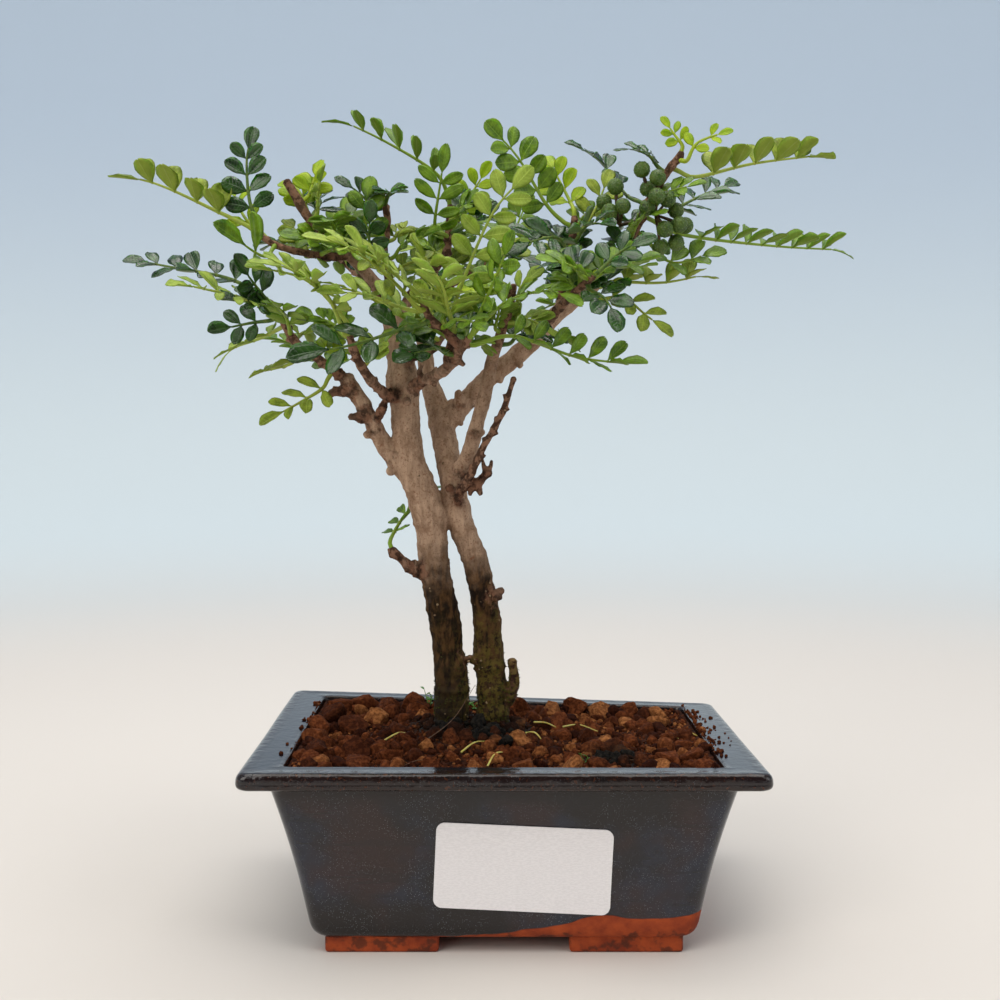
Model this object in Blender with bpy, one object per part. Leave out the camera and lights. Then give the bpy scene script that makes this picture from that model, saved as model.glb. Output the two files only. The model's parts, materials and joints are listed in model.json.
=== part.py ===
"""Chinese pepper bonsai (Zanthoxylum piperitum) in a glazed rectangular pot.

Metres, +Z up. The origin is on the table under the middle of the pot. X runs along the pot's long
side, and the pot's front, with the label, faces -Y. Tables are in millimetres and are scaled by MM.
"""

import math
import random

import bmesh
import bpy
from mathutils import Matrix, Vector
from mathutils.bvhtree import BVHTree

MM = 0.001
GAP = 0.3 * MM

# Pot
RIM_WIDTH = 152 * MM
RIM_DEPTH = 110 * MM
POT_HEIGHT = 55 * MM
RIM_BAND = 5.5 * MM
RIM_TOP_SIDE = 12.5 * MM
RIM_TOP_FRONT = 9 * MM
RIM_CORNER = 3 * MM
RIM_EDGE = 0.8 * MM
RIM_TWIST = 2.5 * MM
OVERHANG = 7.5 * MM
WALL = 4.5 * MM
FLOOR = 4.5 * MM
SHOULDER = 44 * MM
FOOT_HEIGHT = 4.5 * MM
BASE_WIDTH = 114 * MM
BASE_DEPTH = 93 * MM
BASE_CORNER = 4 * MM
BASE_EDGE = 4 * MM
BODY_CORNER = 5.5 * MM
CORNER_STEPS = 3
FOOT_LENGTH = 33 * MM
FOOT_DEPTH = 28 * MM
FOOT_LEG = 9 * MM
FOOT_OUTER_X = 52 * MM
FOOT_OUTER_Y = 44.5 * MM
DRAIN_RADIUS = 6 * MM
DRAIN_X = 27 * MM
DRAIN_SIDES = 12
SUNK = 1 * MM

# Drainage mesh
MESH_SIDE = 20 * MM
MESH_THICKNESS = 0.8 * MM
MESH_HOLES = 3
MESH_BAR = 1.4 * MM

# Label
LABEL_WIDTH = 51 * MM
LABEL_HEIGHT = 25 * MM
LABEL_THICKNESS = 0.6 * MM
LABEL_CORNER = 2.5 * MM
LABEL_X = 5.5 * MM
LABEL_Z = 25.5 * MM
LABEL_TILT = 2.7
LABEL_STAND_OFF = 0.36 * MM

# Soil
SOIL_EDGE = 51.5 * MM
SOIL_GAP = 0.4 * MM
MOUND_HEIGHT = 6 * MM
MOUND_SPREAD = 24 * MM
MOUND_CENTRE = Vector((-10 * MM, 5 * MM))
SOIL_CELLS = (12, 8)
SOIL_CORNER_CUT = 1.6 * MM
GRANULES = 36
GRANULE_SIZES = (2.6 * MM, 4.6 * MM)
GRANULE_MARGIN = 1.5 * MM
GRANULE_ROUGHNESS = (0.8, 1.12)
GRANULE_RISE = 0.15
TRUNK_CLEARANCE = 9.5 * MM

# Fruit
BERRY_RADIUS = 2.65 * MM
STALK_RADIUS = 0.5 * MM

# Fronds
RACHIS_WIDTH = 0.9 * MM
RACHIS_THICKNESS = 0.8 * MM
BLADE_THICKNESS = 0.64 * MM
BASE_ANGLE = 68
TIP_ANGLE = 52
LEAFLET_SHAPE = ((0.36, 0.80), (0.76, 0.94))
LEAFLET_WIDTH = 0.62
CLEAR_SHARE = 1.0
SEAT_GAP = 0.5 * MM
LEAD_IN = 2.2 * MM
PATH_STEPS = 6
FIRST_PAIR = 0.30
FIRST_OF_FEW = 0.45
LAST_PAIR = 0.40
LEAFLET_FOOT = 0.45 * MM
FOLD_VARIES = 6
TILT_VARIES = 9
OUTSIDE_WOOD = 6.6 * MM
LEAVING_SIDE = 0.85
LEAVING_ALONG = 0.6

# How far leaflets stand up from the plane of their frond, in degrees, and the fronds that fold more
FOLD = 18
CLOSED_FOLDS = {
    "left_long": 58, "right_long": 58, "right_thin": 42, "right_under": 50, "centre_long": 52,
    "low_right": 34,
}

# Limbs as x, y, z and radius in millimetres, each from inside the wood that it grows from.
LIMBS = {
    "left_trunk": [
        (-17, 5, 32, 5.6), (-17, 5, 60, 5.6), (-17, 5, 71, 5.4), (-18, 5, 80, 4.9), (-19, 4, 90, 5.1),
        (-21, 3, 100, 4.9), (-22.5, 2, 110, 4.8), (-23, 2, 118, 5.0), (-24, 2, 125, 5.7),
        (-27, 1, 134, 5.0), (-30, 0, 141, 5.1), (-31, 0, 152, 4.6), (-31.5, 0, 160, 4.6),
        (-32, 0, 166, 5.2), (-32.5, 0, 174, 4.3), (-34, 1, 184, 4.2), (-35.5, 2, 191, 3.2),
    ],
    "right_trunk": [
        (-3.5, 7, 32, 5.1), (-3.5, 7, 60, 5.1), (-4, 7, 71, 4.8), (-5, 7, 80, 4.8), (-5.5, 7, 90, 4.5),
        (-7, 6, 100, 4.2), (-9.5, 5, 110, 4.1), (-13, 4, 119, 4.1), (-15, 4, 126, 4.3),
        (-16.5, 5, 134, 3.9), (-18, 8, 142, 4.0), (-20, 11, 152, 4.1), (-22, 14, 160, 3.6),
        (-25, 17, 169, 2.9), (-26, 19, 177, 2.6), (-27, 22, 186, 2.3), (-26, 27, 196, 2.0),
        (-23, 33, 207, 1.7), (-19, 38, 216, 1.4), (-16, 43, 223, 1.1),
    ],
    "right_limb": [
        (-19, 11, 153, 3.1), (-12, 11, 161, 3.2), (-5, 10, 168, 3.2), (2.5, 8, 174, 3.0),
        (10, 7, 180.5, 2.9), (16, 6, 187.5, 2.7), (22, 5, 192.5, 2.6), (29, 4, 198, 2.4),
    ],
    "right_leader": [
        (25, 5, 194.5, 1.8), (30.5, 4, 201, 1.6), (35, 3, 205, 1.6), (39, 2, 210, 1.8),
        (42.5, 1, 216.5, 1.3), (46, 0, 224, 1.3), (50.5, -2, 231, 1.3), (55, -4, 237, 1.1),
    ],
    "right_inner_twig": [
        (17.5, 6, 189, 1.5), (19, 3, 197, 1.3), (20.5, 1, 204.5, 1.2), (21.5, -1, 211, 1.2),
        (22, -3, 217.5, 1.0),
    ],
    "right_rise": [
        (-15.5, 5, 129, 3.0), (-14, 2, 138, 2.6), (-11, -1, 144, 2.4), (-8.5, -3, 153, 2.3),
        (-6, -4, 162, 2.2), (-4, -5, 172, 2.0), (-1, -8, 181, 1.6), (1.5, -11, 188, 1.4),
        (3, -14, 195.5, 1.1),
    ],
    "dead_twig": [
        (-15, 2, 124, 1.4), (-14, -3, 131, 1.3), (-10, -7, 138, 1.2), (-7, -8, 145, 1.1),
        (-3, -9, 152, 1.0), (0, -9.5, 158, 1.0), (3, -9, 167, 0.8),
    ],
    "dead_spur": [(-12.5, -4, 134, 1.2), (-8.5, -3.5, 134.5, 1.5), (-5, -4, 138, 1.2)],
    "left_limb": [
        (-31, 0, 137, 3.0), (-35.5, -1, 143, 2.8), (-38, -2, 147, 2.7), (-41, -3, 153, 2.6),
        (-44, -4, 159, 2.5), (-47, -5, 163.5, 2.4), (-49, -6, 168, 2.1),
    ],
    "left_stub": [(-46.5, -5, 163, 1.7), (-50, -6, 163.5, 1.6), (-53.5, -6, 163, 1.4)],
    "left_low_stub": [(-41.5, -3, 154, 1.5), (-44.5, -5, 155, 1.4), (-47.5, -6, 155.5, 1.2)],
    "left_spur": [(-40.5, -4, 154, 1.5), (-38.5, -7, 157, 1.3), (-37, -8, 160, 1.0)],
    "left_low_twig": [
        (-48, -6, 166, 1.8), (-52.5, -8, 169.5, 1.5), (-57, -10, 173, 1.4), (-61.5, -11, 176, 1.4),
        (-65, -12, 179.5, 1.3), (-68, -12, 185, 1.1), (-72, -12, 190.5, 0.9),
    ],
    "knuckle_twig": [
        (-32, -2, 161, 1.8), (-36, -6, 162, 1.6), (-39, -10, 164.5, 1.5), (-41.5, -14, 167.5, 1.5),
        (-44, -17, 172, 1.4), (-46, -19, 177, 1.2), (-46.5, -21, 181.5, 1.0),
    ],
    "front_limb": [
        (-31, -2, 163.5, 2.0), (-26, -9, 166, 1.8), (-22, -14, 167.5, 1.7), (-18, -19, 169.5, 1.7),
        (-14.5, -24, 172.5, 1.6), (-13, -28, 175.5, 1.5), (-10.5, -31, 178, 1.1),
    ],
    "front_spur": [(-17, -20, 170, 1.4), (-16.5, -23, 175, 1.3), (-15, -25, 179.5, 1.0)],
    "front_red_twig": [
        (-13, -29, 176, 1.3), (-16, -31, 179, 1.2), (-19.5, -33, 182, 1.1), (-22, -35, 184.5, 1.1),
        (-23.5, -36, 188.5, 0.9),
    ],
    "high_spur": [(-32, -1, 173, 1.6), (-27, -5, 175, 1.3), (-22, -7, 176.5, 1.2), (-19, -9, 180, 0.9)],
    "bud_spur": [(-33, 0, 182, 1.5), (-27, -5, 185, 1.2), (-21, -8, 184.5, 0.9)],
    "left_high_limb": [
        (-35, 1.5, 186, 2.5), (-38, 0, 194, 2.2), (-43.5, -2, 201, 1.9), (-49.5, -4, 207, 1.7),
        (-55, -6, 212, 1.5), (-60.5, -7, 217, 1.5), (-64, -8, 223, 1.5), (-67, -8, 228, 1.3),
    ],
    "left_mid_twig": [
        (-48, -4, 205.5, 1.3), (-55, -8, 205, 1.1), (-63, -11, 206, 1.1), (-70.5, -14, 208, 1.0),
        (-76, -16, 212, 0.9),
    ],
    "middle_twig": [
        (-35, 2, 187, 2.0), (-36, 5, 196, 1.5), (-38, 6, 205, 1.2), (-38, 6, 212, 1.1),
        (-37, 5, 218, 1.1), (-38.5, 4, 225, 1.0), (-40.5, 3, 228, 0.9),
    ],
    "centre_high": [
        (-35, 2, 186, 2.2), (-29.5, 8, 194.5, 1.7), (-24.5, 11, 201, 1.4), (-20.5, 13, 206, 1.3),
        (-18, 14, 211, 1.2), (-18, 14, 217, 1.1), (-17.5, 14, 224, 0.9),
    ],
    "back_left_limb": [
        (-35, 2.5, 188, 2.0), (-39, 14, 194, 1.6), (-45.5, 26, 201, 1.4), (-52.5, 38, 207, 1.2),
        (-59, 48, 212, 0.9),
    ],
    "centre_back": [(-26.5, 25, 193, 1.5), (-18, 34, 200.5, 1.3), (-8, 42, 207.5, 1.2), (0.5, 50, 214, 0.9)],
    "back_right": [
        (4.5, 8, 176, 1.8), (11.5, 20, 182.5, 1.5), (18, 32, 190.5, 1.3), (25, 42, 197.5, 1.1),
        (31, 50, 204, 0.9),
    ],
    "front_right": [
        (14, 6, 185.5, 1.6), (16, -6, 188, 1.4), (19, -17, 190.5, 1.2), (22.5, -26, 193.5, 1.1),
        (26, -34, 196, 0.9),
    ],
    "trunk_spur": [(-24, 2, 104, 1.8), (-28, 1, 106, 1.6), (-31, -1, 109, 1.5), (-35, -2, 113, 1.1)],
    "trunk_knob": [(-6.5, 6, 97, 2.0), (-2.5, 4, 98, 1.7), (-1, 3, 99.5, 1.2)],
    "base_knob": [(-7, 6, 76, 1.7), (-11, 4, 77.5, 1.3)],
    "old_stub": [(-2, 7, 62, 2.0), (2.2, 6, 65, 1.9), (3.4, 5, 70, 1.8), (2.8, 5, 76, 1.4)],
}

# Fronds: the limb that carries it, how far its seat is back from the limb's tip, the points of its
# rachis up to its tip, leaflet pairs, leaflet length, the way its upper side faces, and its green.
FRONDS = {
    "left_long": (
        "left_mid_twig", 0, [(-86, -17, 217), (-104, -19, 225), (-118.5, -20, 228)],
        4, 9.5, (0, -0.15, 1), "olive",
    ),
    "left_upright": (
        "left_mid_twig", 2.6, [(-77, -15, 220), (-78, -14, 234), (-75.5, -12, 243.5)],
        4, 7.5, (0.1, -1, 0.2), "dark",
    ),
    "left_back": (
        "left_mid_twig", 5.2, [(-80, -9, 217), (-86, 0, 229)],
        2, 7, (-0.3, -0.6, 0.7), "lime",
    ),
    "left_bright": (
        "left_high_limb", 8, [(-60, -6, 225), (-57, -3, 236)],
        2, 6.5, (0, -0.6, 0.8), "lime",
    ),
    "left_pair": (
        "left_mid_twig", 8, [(-72, -25, 203), (-82, -38, 210)],
        1, 11, (0, -0.8, 0.5), "mid",
    ),
    "left_dark": (
        "left_low_twig", 0, [(-85, -11, 198), (-105, -9, 202), (-118, -8, 204.5)],
        5, 8, (0, -0.5, 0.85), "dark",
    ),
    "left_pale": (
        "left_low_twig", 2.8, [(-79, -22, 191), (-96, -38, 194)],
        4, 8, (0, -0.5, 0.85), "pale",
    ),
    "left_fan": (
        "left_low_twig", 5.5, [(-78, -13, 184), (-90, -17, 181)],
        2, 7.5, (0, -0.9, 0.4), "dark",
    ),
    "left_hanging": (
        "left_low_twig", 8.5, [(-77, -2, 180), (-87, 4, 177), (-93, 7, 171)],
        3, 8, (0, -0.4, 0.9), "pale",
    ),
    "left_under": (
        "left_low_twig", 17, [(-67, -4, 172), (-82, 5, 169)],
        3, 7, (0, -0.3, 1), "olive",
    ),
    "left_drooping": (
        "left_low_twig", 29, [(-56, -12, 164), (-62, -15, 160), (-73, -20, 153.5)],
        3, 7.5, (0, -0.6, 0.8), "olive",
    ),
    "left_rear": (
        "left_limb", 4, [(-55, 8, 172), (-68, 20, 179), (-82, 32, 184)],
        4, 8, (0, -0.3, 1), "mid",
    ),
    "front_left_dark": (
        "front_red_twig", 5.8, [(-30, -39, 180), (-44, -47, 175), (-59, -52, 172.5)],
        3, 10.5, (0, -0.8, 0.6), "dark",
    ),
    "front_left_high": (
        "front_red_twig", 0, [(-29, -42, 194), (-38, -53, 200), (-53, -62, 204)],
        5, 8.5, (0, -0.6, 0.8), "pale",
    ),
    "front_left_mid": (
        "front_red_twig", 2.8, [(-31, -38, 187), (-40, -42, 190), (-52, -44, 190)],
        4, 7.5, (0, -0.6, 0.8), "pale",
    ),
    "front_left_long": (
        "knuckle_twig", 0, [(-51, -27, 189), (-58, -38, 195), (-71, -50, 197)],
        5, 8, (0, -0.6, 0.8), "pale",
    ),
    "centre_front": (
        "front_spur", 0, [(-16, -40, 186), (-17, -57, 191), (-20, -72, 195)],
        5, 8.5, (0, -0.4, 0.9), "pale",
    ),
    "front_right_arch": (
        "front_limb", 0, [(0, -35, 188), (12, -41, 191), (22, -46, 187)],
        5, 8, (0, -0.5, 0.9), "mid",
    ),
    "centre_rise": (
        "front_spur", 2.8, [(-12, -30, 195), (-3, -37, 214), (8, -43, 225)],
        5, 8.5, (0.3, -1, 0.3), "pale",
    ),
    "low_right": (
        "front_limb", 3, [(3, -29, 179), (22, -25, 173), (42, -22, 171)],
        5, 8, (0, -0.6, 0.8), "mid",
    ),
    "centre_long": (
        "centre_high", 0, [(-22, 10, 234), (-38, 5, 243), (-55, 0, 250)],
        5, 8.5, (0.4, -0.15, 0.9), "mid",
    ),
    "centre_upright": (
        "centre_high", 10, [(-22, 5, 216), (-20, -1, 228), (-18, -6, 238.5)],
        4, 8, (0, -1, 0.3), "mid",
    ),
    "middle_fan": (
        "middle_twig", 16, [(-43, -2, 213), (-43, -5, 221), (-41, -6, 230)],
        2, 7.5, (0, -1, 0.3), "mid",
    ),
    "middle_low": (
        "middle_twig", 14, [(-45, 12, 217), (-57, 22, 223)],
        3, 7.5, (0, -0.6, 0.8), "pale",
    ),
    "middle_dark": (
        "left_high_limb", 33, [(-42, -7, 206), (-41, -13, 214), (-40, -16, 221)],
        3, 7.5, (0, -1, 0.3), "dark",
    ),
    "centre_tall": (
        "right_inner_twig", 2.8, [(13, -3, 222), (4, -6, 236), (-6, -8, 246)],
        5, 8, (-0.3, -0.8, 0.5), "mid",
    ),
    "centre_bright": (
        "right_trunk", 0, [(-12, 41, 231), (-4, 38, 243)],
        3, 7, (0, -1, 0.3), "lime",
    ),
    "inner_bright": (
        "right_inner_twig", 0, [(20, 1, 225), (13, 8, 240)],
        3, 7, (0, -1, 0.2), "lime",
    ),
    "glossy_left": (
        "right_inner_twig", 10, [(15, -14, 210), (2, -28, 205)],
        3, 8.5, (0, -0.8, 0.6), "dark",
    ),
    "glossy_right": (
        "right_inner_twig", 7.6, [(26, -13, 214), (33, -25, 212)],
        2, 8.5, (0, -0.8, 0.6), "dark",
    ),
    "inner_low": (
        "front_right", 2.6, [(19, -41, 198), (9, -47, 200)],
        3, 7.5, (0, -0.7, 0.7), "mid",
    ),
    "right_long": (
        "right_leader", 5, [(61, 1, 231), (80, 5, 236), (106.5, 10, 240)],
        5, 9.5, (0, -0.1, 1), "olive",
    ),
    "right_thin": (
        "right_leader", 22, [(58, 9, 214), (90, 24, 212.5), (119, 35, 212.5)],
        6, 8.5, (0, -0.2, 1), "mid",
    ),
    "right_glossy": (
        "right_leader", 14, [(55, 11, 223), (66, 22, 229), (80, 34, 236)],
        4, 8.5, (0, -0.7, 0.7), "dark",
    ),
    "right_under": (
        "right_limb", 1, [(35, 8, 199), (52, 11, 199), (70, 15, 203)],
        4, 8, (0, -0.2, 1), "olive",
    ),
    "right_droop": (
        "right_limb", 4.5, [(38, 1, 193), (45, -3, 187), (53, -6, 181)],
        3, 8.5, (0, -0.5, 0.9), "olive",
    ),
    "right_hanging": (
        "front_right", 5, [(29, -38, 189), (33, -46, 181)],
        2, 8, (0.3, -1, 0.2), "dark",
    ),
    "right_point": (
        "front_right", 0, [(34, -36, 203), (43, -40, 207)],
        2, 8, (0, -0.7, 0.7), "dark",
    ),
    "right_short": (
        "right_leader", 27, [(54, 4, 204.5), (70, 1, 209)],
        3, 8, (0, -0.6, 0.8), "mid",
    ),
    "low_round": (
        "right_limb", 20.6, [(18, 14, 182), (26, 22, 178)],
        2, 8, (0, -0.6, 0.8), "mid",
    ),
    "notched": (
        "right_inner_twig", 5.2, [(29, -1, 221), (34, 3, 234)],
        2, 7.5, (0, -1, 0.2), "olive",
    ),
    "right_cross": (
        "right_leader", 18.5, [(39, 9, 227), (31, 12, 238), (20, 12, 245)],
        4, 7.5, (0.6, -0.4, 0.7), "dark",
    ),
    "tip_young": (
        "right_leader", 2.4, [(60, -7, 240), (70, -11, 243)],
        2, 5, (0, -0.8, 0.5), "lime",
    ),
    "tip_bud": (
        "right_leader", 0, [(53, -4, 243), (49, -3, 249)],
        2, 5, (0, -1, 0.1), "lime",
    ),
    "tip_left": (
        "right_leader", 7.5, [(44, -5, 237), (34, -8, 239)],
        3, 6, (0, -0.4, 0.9), "dark",
    ),
    "trunk_shoot": (
        "trunk_spur", 0, [(-35.5, 3, 118), (-32, 10, 124), (-27, 13, 129), (-20, 15, 134)],
        4, 5.5, (-0.3, 0, 1), "mid",
    ),
    "back_left_far": (
        "back_left_limb", 0, [(-68, 55, 216), (-82, 64, 218)],
        4, 8, (0, 0.2, 1), "mid",
    ),
    "back_left_rise": (
        "back_left_limb", 3, [(-58, 52, 222), (-55, 58, 235)],
        3, 8, (-0.2, 1, 0.3), "mid",
    ),
    "back_centre": (
        "centre_back", 0, [(4, 56, 222), (10, 61, 237)],
        4, 8, (0, 1, 0.3), "mid",
    ),
    "back_centre_left": (
        "centre_back", 4, [(-10, 54, 214), (-19, 72, 216)],
        4, 8, (0, 0.3, 1), "mid",
    ),
    "back_right_far": (
        "back_right", 0, [(41, 57, 208), (56, 65, 212)],
        4, 8, (0, 0.3, 1), "mid",
    ),
}

# Bunches: the limb that carries it, how far its seat is back from the limb's tip, where its stalks
# part, and the berries' centres.
BUNCHES = {
    "fruit_right": ("right_leader", 16.5, (47, -6, 218), [
        (42.5, -8, 231.5), (44.5, -6, 226), (47, -11, 228.5), (50.5, -8, 222.5), (44, -10, 219.5),
        (53.5, -5, 219.5), (46.5, -13, 222.5), (49.5, -10, 213), (54, -9, 214.5), (56.5, -4, 215),
        (53.5, -6, 209.5), (48.5, -6, 208),
    ]),
    "fruit_left": ("right_leader", 24, (36, -5, 215), [
        (34.5, -7, 226.5), (31, -6, 222), (32.5, -9, 218.5), (36.5, -10, 220),
    ]),
}

GREENS = {
    "dark": (0.022, 0.090, 0.020),
    "mid": (0.060, 0.190, 0.022),
    "pale": (0.160, 0.330, 0.060),
    "lime": (0.300, 0.520, 0.025),
    "olive": (0.260, 0.350, 0.050),
}


def clear_scene():
    """Removes everything that the scene starts with."""
    for obj in list(bpy.data.objects):
        bpy.data.objects.remove(obj, do_unlink=True)


def make_material(name, color, roughness, metallic=0.0):
    """A plain Principled material."""
    material = bpy.data.materials.new(name)
    material.use_nodes = True
    shader = material.node_tree.nodes["Principled BSDF"]
    shader.inputs["Base Color"].default_value = (*color, 1)
    shader.inputs["Roughness"].default_value = roughness
    shader.inputs["Metallic"].default_value = metallic
    material.diffuse_color = (*color, 1)
    return material


def object_from_bmesh(name, bm, material=None):
    """Closes a bmesh into a new object whose faces point out."""
    bmesh.ops.recalc_face_normals(bm, faces=bm.faces)
    mesh = bpy.data.meshes.new(name)
    bm.to_mesh(mesh)
    bm.free()
    obj = bpy.data.objects.new(name, mesh)
    bpy.context.scene.collection.objects.link(obj)
    if material:
        mesh.materials.append(material)
    return obj


def join_all(target, tools, operation):
    """Applies one Boolean between an object and a list of others, which are then removed."""
    group = bpy.data.collections.new("tools")
    for tool in tools:
        group.objects.link(tool)
    modifier = target.modifiers.new("join", "BOOLEAN")
    modifier.operation = operation
    modifier.operand_type = "COLLECTION"
    modifier.collection = group
    modifier.solver = "EXACT"
    graph = bpy.context.evaluated_depsgraph_get()
    joined = bpy.data.meshes.new_from_object(target.evaluated_get(graph))
    joined.name = target.name
    target.modifiers.clear()
    target.data = joined
    for tool in tools:
        bpy.data.objects.remove(tool, do_unlink=True)
    bpy.data.collections.remove(group)


def rounded_rectangle(width, depth, radius, z):
    """The points of a level rectangle with round corners, counter-clockwise seen from above."""
    signs = ((1, 1), (-1, 1), (-1, -1), (1, -1))
    points = []
    for quarter, (side_x, side_y) in enumerate(signs):
        centre = Vector((side_x * (width / 2 - radius), side_y * (depth / 2 - radius), z))
        for step in range(CORNER_STEPS + 1):
            angle = math.radians(90 * (quarter + step / CORNER_STEPS))
            points.append(centre + radius * Vector((math.cos(angle), math.sin(angle), 0)))
    return points


def loft(bm, rings):
    """Joins rings of equally many points into a skin, closed at both ends."""
    rows = [[bm.verts.new(point) for point in ring] for ring in rings]
    count = len(rows[0])
    for lower, upper in zip(rows, rows[1:]):
        for i in range(count):
            j = (i + 1) % count
            bm.faces.new((lower[i], lower[j], upper[j], upper[i]))
    bm.faces.new(rows[0])
    bm.faces.new(rows[-1])
    return rows


def prism(name, outline, low, high):
    """A straight block over a level outline."""
    bm = bmesh.new()
    loft(bm, [[Vector((x, y, z)) for x, y in outline] for z in (low, high)])
    return object_from_bmesh(name, bm)


def twisted(point):
    """The fired pot's warp: its back rim rises on the left and drops on the right."""
    back = (point.y + RIM_DEPTH / 2) / RIM_DEPTH
    height = (point.z / POT_HEIGHT) ** 2
    side = point.x / (RIM_WIDTH / 2)
    return point - Vector((0, 0, RIM_TWIST * side * back * height))


def body_half(z):
    """Half width and half depth of the body's outside between its foot and its rim."""
    top = POT_HEIGHT - RIM_BAND
    bottom = FOOT_HEIGHT + BASE_EDGE
    share = (z - bottom) / (top - bottom)
    width = BASE_WIDTH + share * (RIM_WIDTH - 2 * OVERHANG - BASE_WIDTH)
    depth = BASE_DEPTH + share * (RIM_DEPTH - 2 * OVERHANG - BASE_DEPTH)
    return width / 2, depth / 2


def make_pot():
    """The fired body with its overhanging rim, four corner feet and two drainage holes."""
    rim_under = POT_HEIGHT - RIM_BAND
    base_top = FOOT_HEIGHT + BASE_EDGE
    inside_floor = FOOT_HEIGHT + FLOOR
    base = (BASE_WIDTH - 2 * BASE_EDGE, BASE_DEPTH - 2 * BASE_EDGE)
    top = (RIM_WIDTH - 2 * RIM_EDGE, RIM_DEPTH - 2 * RIM_EDGE)
    rings = [rounded_rectangle(*base, BASE_CORNER, FOOT_HEIGHT)]
    for z in (base_top, (base_top + rim_under) / 2, rim_under):
        half_width, half_depth = body_half(z)
        rings.append(rounded_rectangle(2 * half_width, 2 * half_depth, BODY_CORNER, z))
    for z in (rim_under + RIM_EDGE, POT_HEIGHT - RIM_EDGE):
        rings.append(rounded_rectangle(RIM_WIDTH, RIM_DEPTH, RIM_CORNER, z))
    rings.append(rounded_rectangle(*top, RIM_CORNER, POT_HEIGHT))
    rings.extend(inner_ring(z) for z in (POT_HEIGHT, SHOULDER, inside_floor))
    bm = bmesh.new()
    loft(bm, [[twisted(point) for point in ring] for ring in rings])
    pot = object_from_bmesh("pot", bm, make_material("glaze", (0.012, 0.014, 0.022), 0.12))
    join_all(pot, [make_foot(x, y) for x in (-1, 1) for y in (-1, 1)], "UNION")
    join_all(pot, [make_drain_cutter(x) for x in (-1, 1)], "DIFFERENCE")
    pot.data.set_sharp_from_angle(angle=math.radians(35))
    return pot


def inside_half(z):
    """Half width and half depth of the pot's inside, which opens to the rim above the shoulder."""
    if z <= SHOULDER:
        return [half - WALL for half in body_half(z)]
    share = (z - SHOULDER) / (POT_HEIGHT - SHOULDER)
    mouth = (RIM_WIDTH / 2 - RIM_TOP_SIDE, RIM_DEPTH / 2 - RIM_TOP_FRONT)
    return [low + share * (high - low) for low, high in zip(inside_half(SHOULDER), mouth)]


def inner_ring(z):
    """The outline of the pot's inside at a height."""
    half_width, half_depth = inside_half(z)
    return rounded_rectangle(2 * half_width, 2 * half_depth, RIM_CORNER, z)


def make_foot(side_x, side_y):
    """One L-shaped corner foot, its top sunk into the body."""
    x, y = FOOT_OUTER_X, FOOT_OUTER_Y
    outline = [
        (x, y), (x, y - FOOT_DEPTH), (x - FOOT_LEG, y - FOOT_DEPTH), (x - FOOT_LEG, y - FOOT_LEG),
        (x - FOOT_LENGTH, y - FOOT_LEG), (x - FOOT_LENGTH, y),
    ]
    mirrored = [(side_x * across, side_y * along) for across, along in outline]
    return prism("foot", mirrored, 0, FOOT_HEIGHT + SUNK)


def make_drain_cutter(side):
    """A round cutter through the floor."""
    bm = bmesh.new()
    middle = Matrix.Translation((side * DRAIN_X, 0, FOOT_HEIGHT + FLOOR / 2))
    bmesh.ops.create_cone(
        bm, cap_ends=True, segments=DRAIN_SIDES, radius1=DRAIN_RADIUS, radius2=DRAIN_RADIUS,
        depth=3 * FLOOR, matrix=middle,
    )
    return object_from_bmesh("drain_cutter", bm)


def square_over_drain(side, half):
    """The outline of a level square over one drainage hole."""
    return [(side * DRAIN_X + x * half, y * half) for x, y in ((-1, -1), (1, -1), (1, 1), (-1, 1))]


def make_drain_mesh(name, side):
    """A square plastic mesh lying on the floor over one drainage hole."""
    low = FOOT_HEIGHT + FLOOR + GAP
    half = MESH_SIDE / 2
    mesh = prism(name, square_over_drain(side, half), low, low + MESH_THICKNESS)
    mesh.data.materials.append(make_material("mesh_plastic", (0.05, 0.05, 0.05), 0.5))
    opening = (MESH_SIDE - (MESH_HOLES + 1) * MESH_BAR) / MESH_HOLES
    holes = []
    for row in range(MESH_HOLES):
        for column in range(MESH_HOLES):
            x = side * DRAIN_X - half + MESH_BAR + column * (opening + MESH_BAR)
            y = -half + MESH_BAR + row * (opening + MESH_BAR)
            square = [(x, y), (x + opening, y), (x + opening, y + opening), (x, y + opening)]
            holes.append(prism("hole", square, low - SUNK, low + MESH_THICKNESS + SUNK))
    join_all(mesh, holes, "DIFFERENCE")
    return mesh


def make_label():
    """The blank sticker on the front wall, tilted a little in the wall's plane."""
    low_y = body_half(LABEL_Z - LABEL_HEIGHT / 2)[1]
    high_y = body_half(LABEL_Z + LABEL_HEIGHT / 2)[1]
    lean = math.atan2(high_y - low_y, LABEL_HEIGHT)
    bm = bmesh.new()
    loft(bm, [rounded_rectangle(LABEL_WIDTH, LABEL_HEIGHT, LABEL_CORNER, z) for z in (0, LABEL_THICKNESS)])
    label = object_from_bmesh("blank_label", bm, make_material("label_paper", (0.8, 0.8, 0.8), 0.4))
    label.location = (LABEL_X, -body_half(LABEL_Z)[1] - LABEL_STAND_OFF, LABEL_Z)
    upright = Matrix.Rotation(math.radians(90) + lean, 3, "X")
    label.rotation_euler = (upright @ Matrix.Rotation(-math.radians(LABEL_TILT), 3, "Z")).to_euler()
    return label


def soil_height(x, y):
    """The height of the soil's surface, which is mounded round the trunks."""
    away = (Vector((x, y)) - MOUND_CENTRE).length
    return SOIL_EDGE + MOUND_HEIGHT * math.exp(-((away / MOUND_SPREAD) ** 2))


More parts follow.
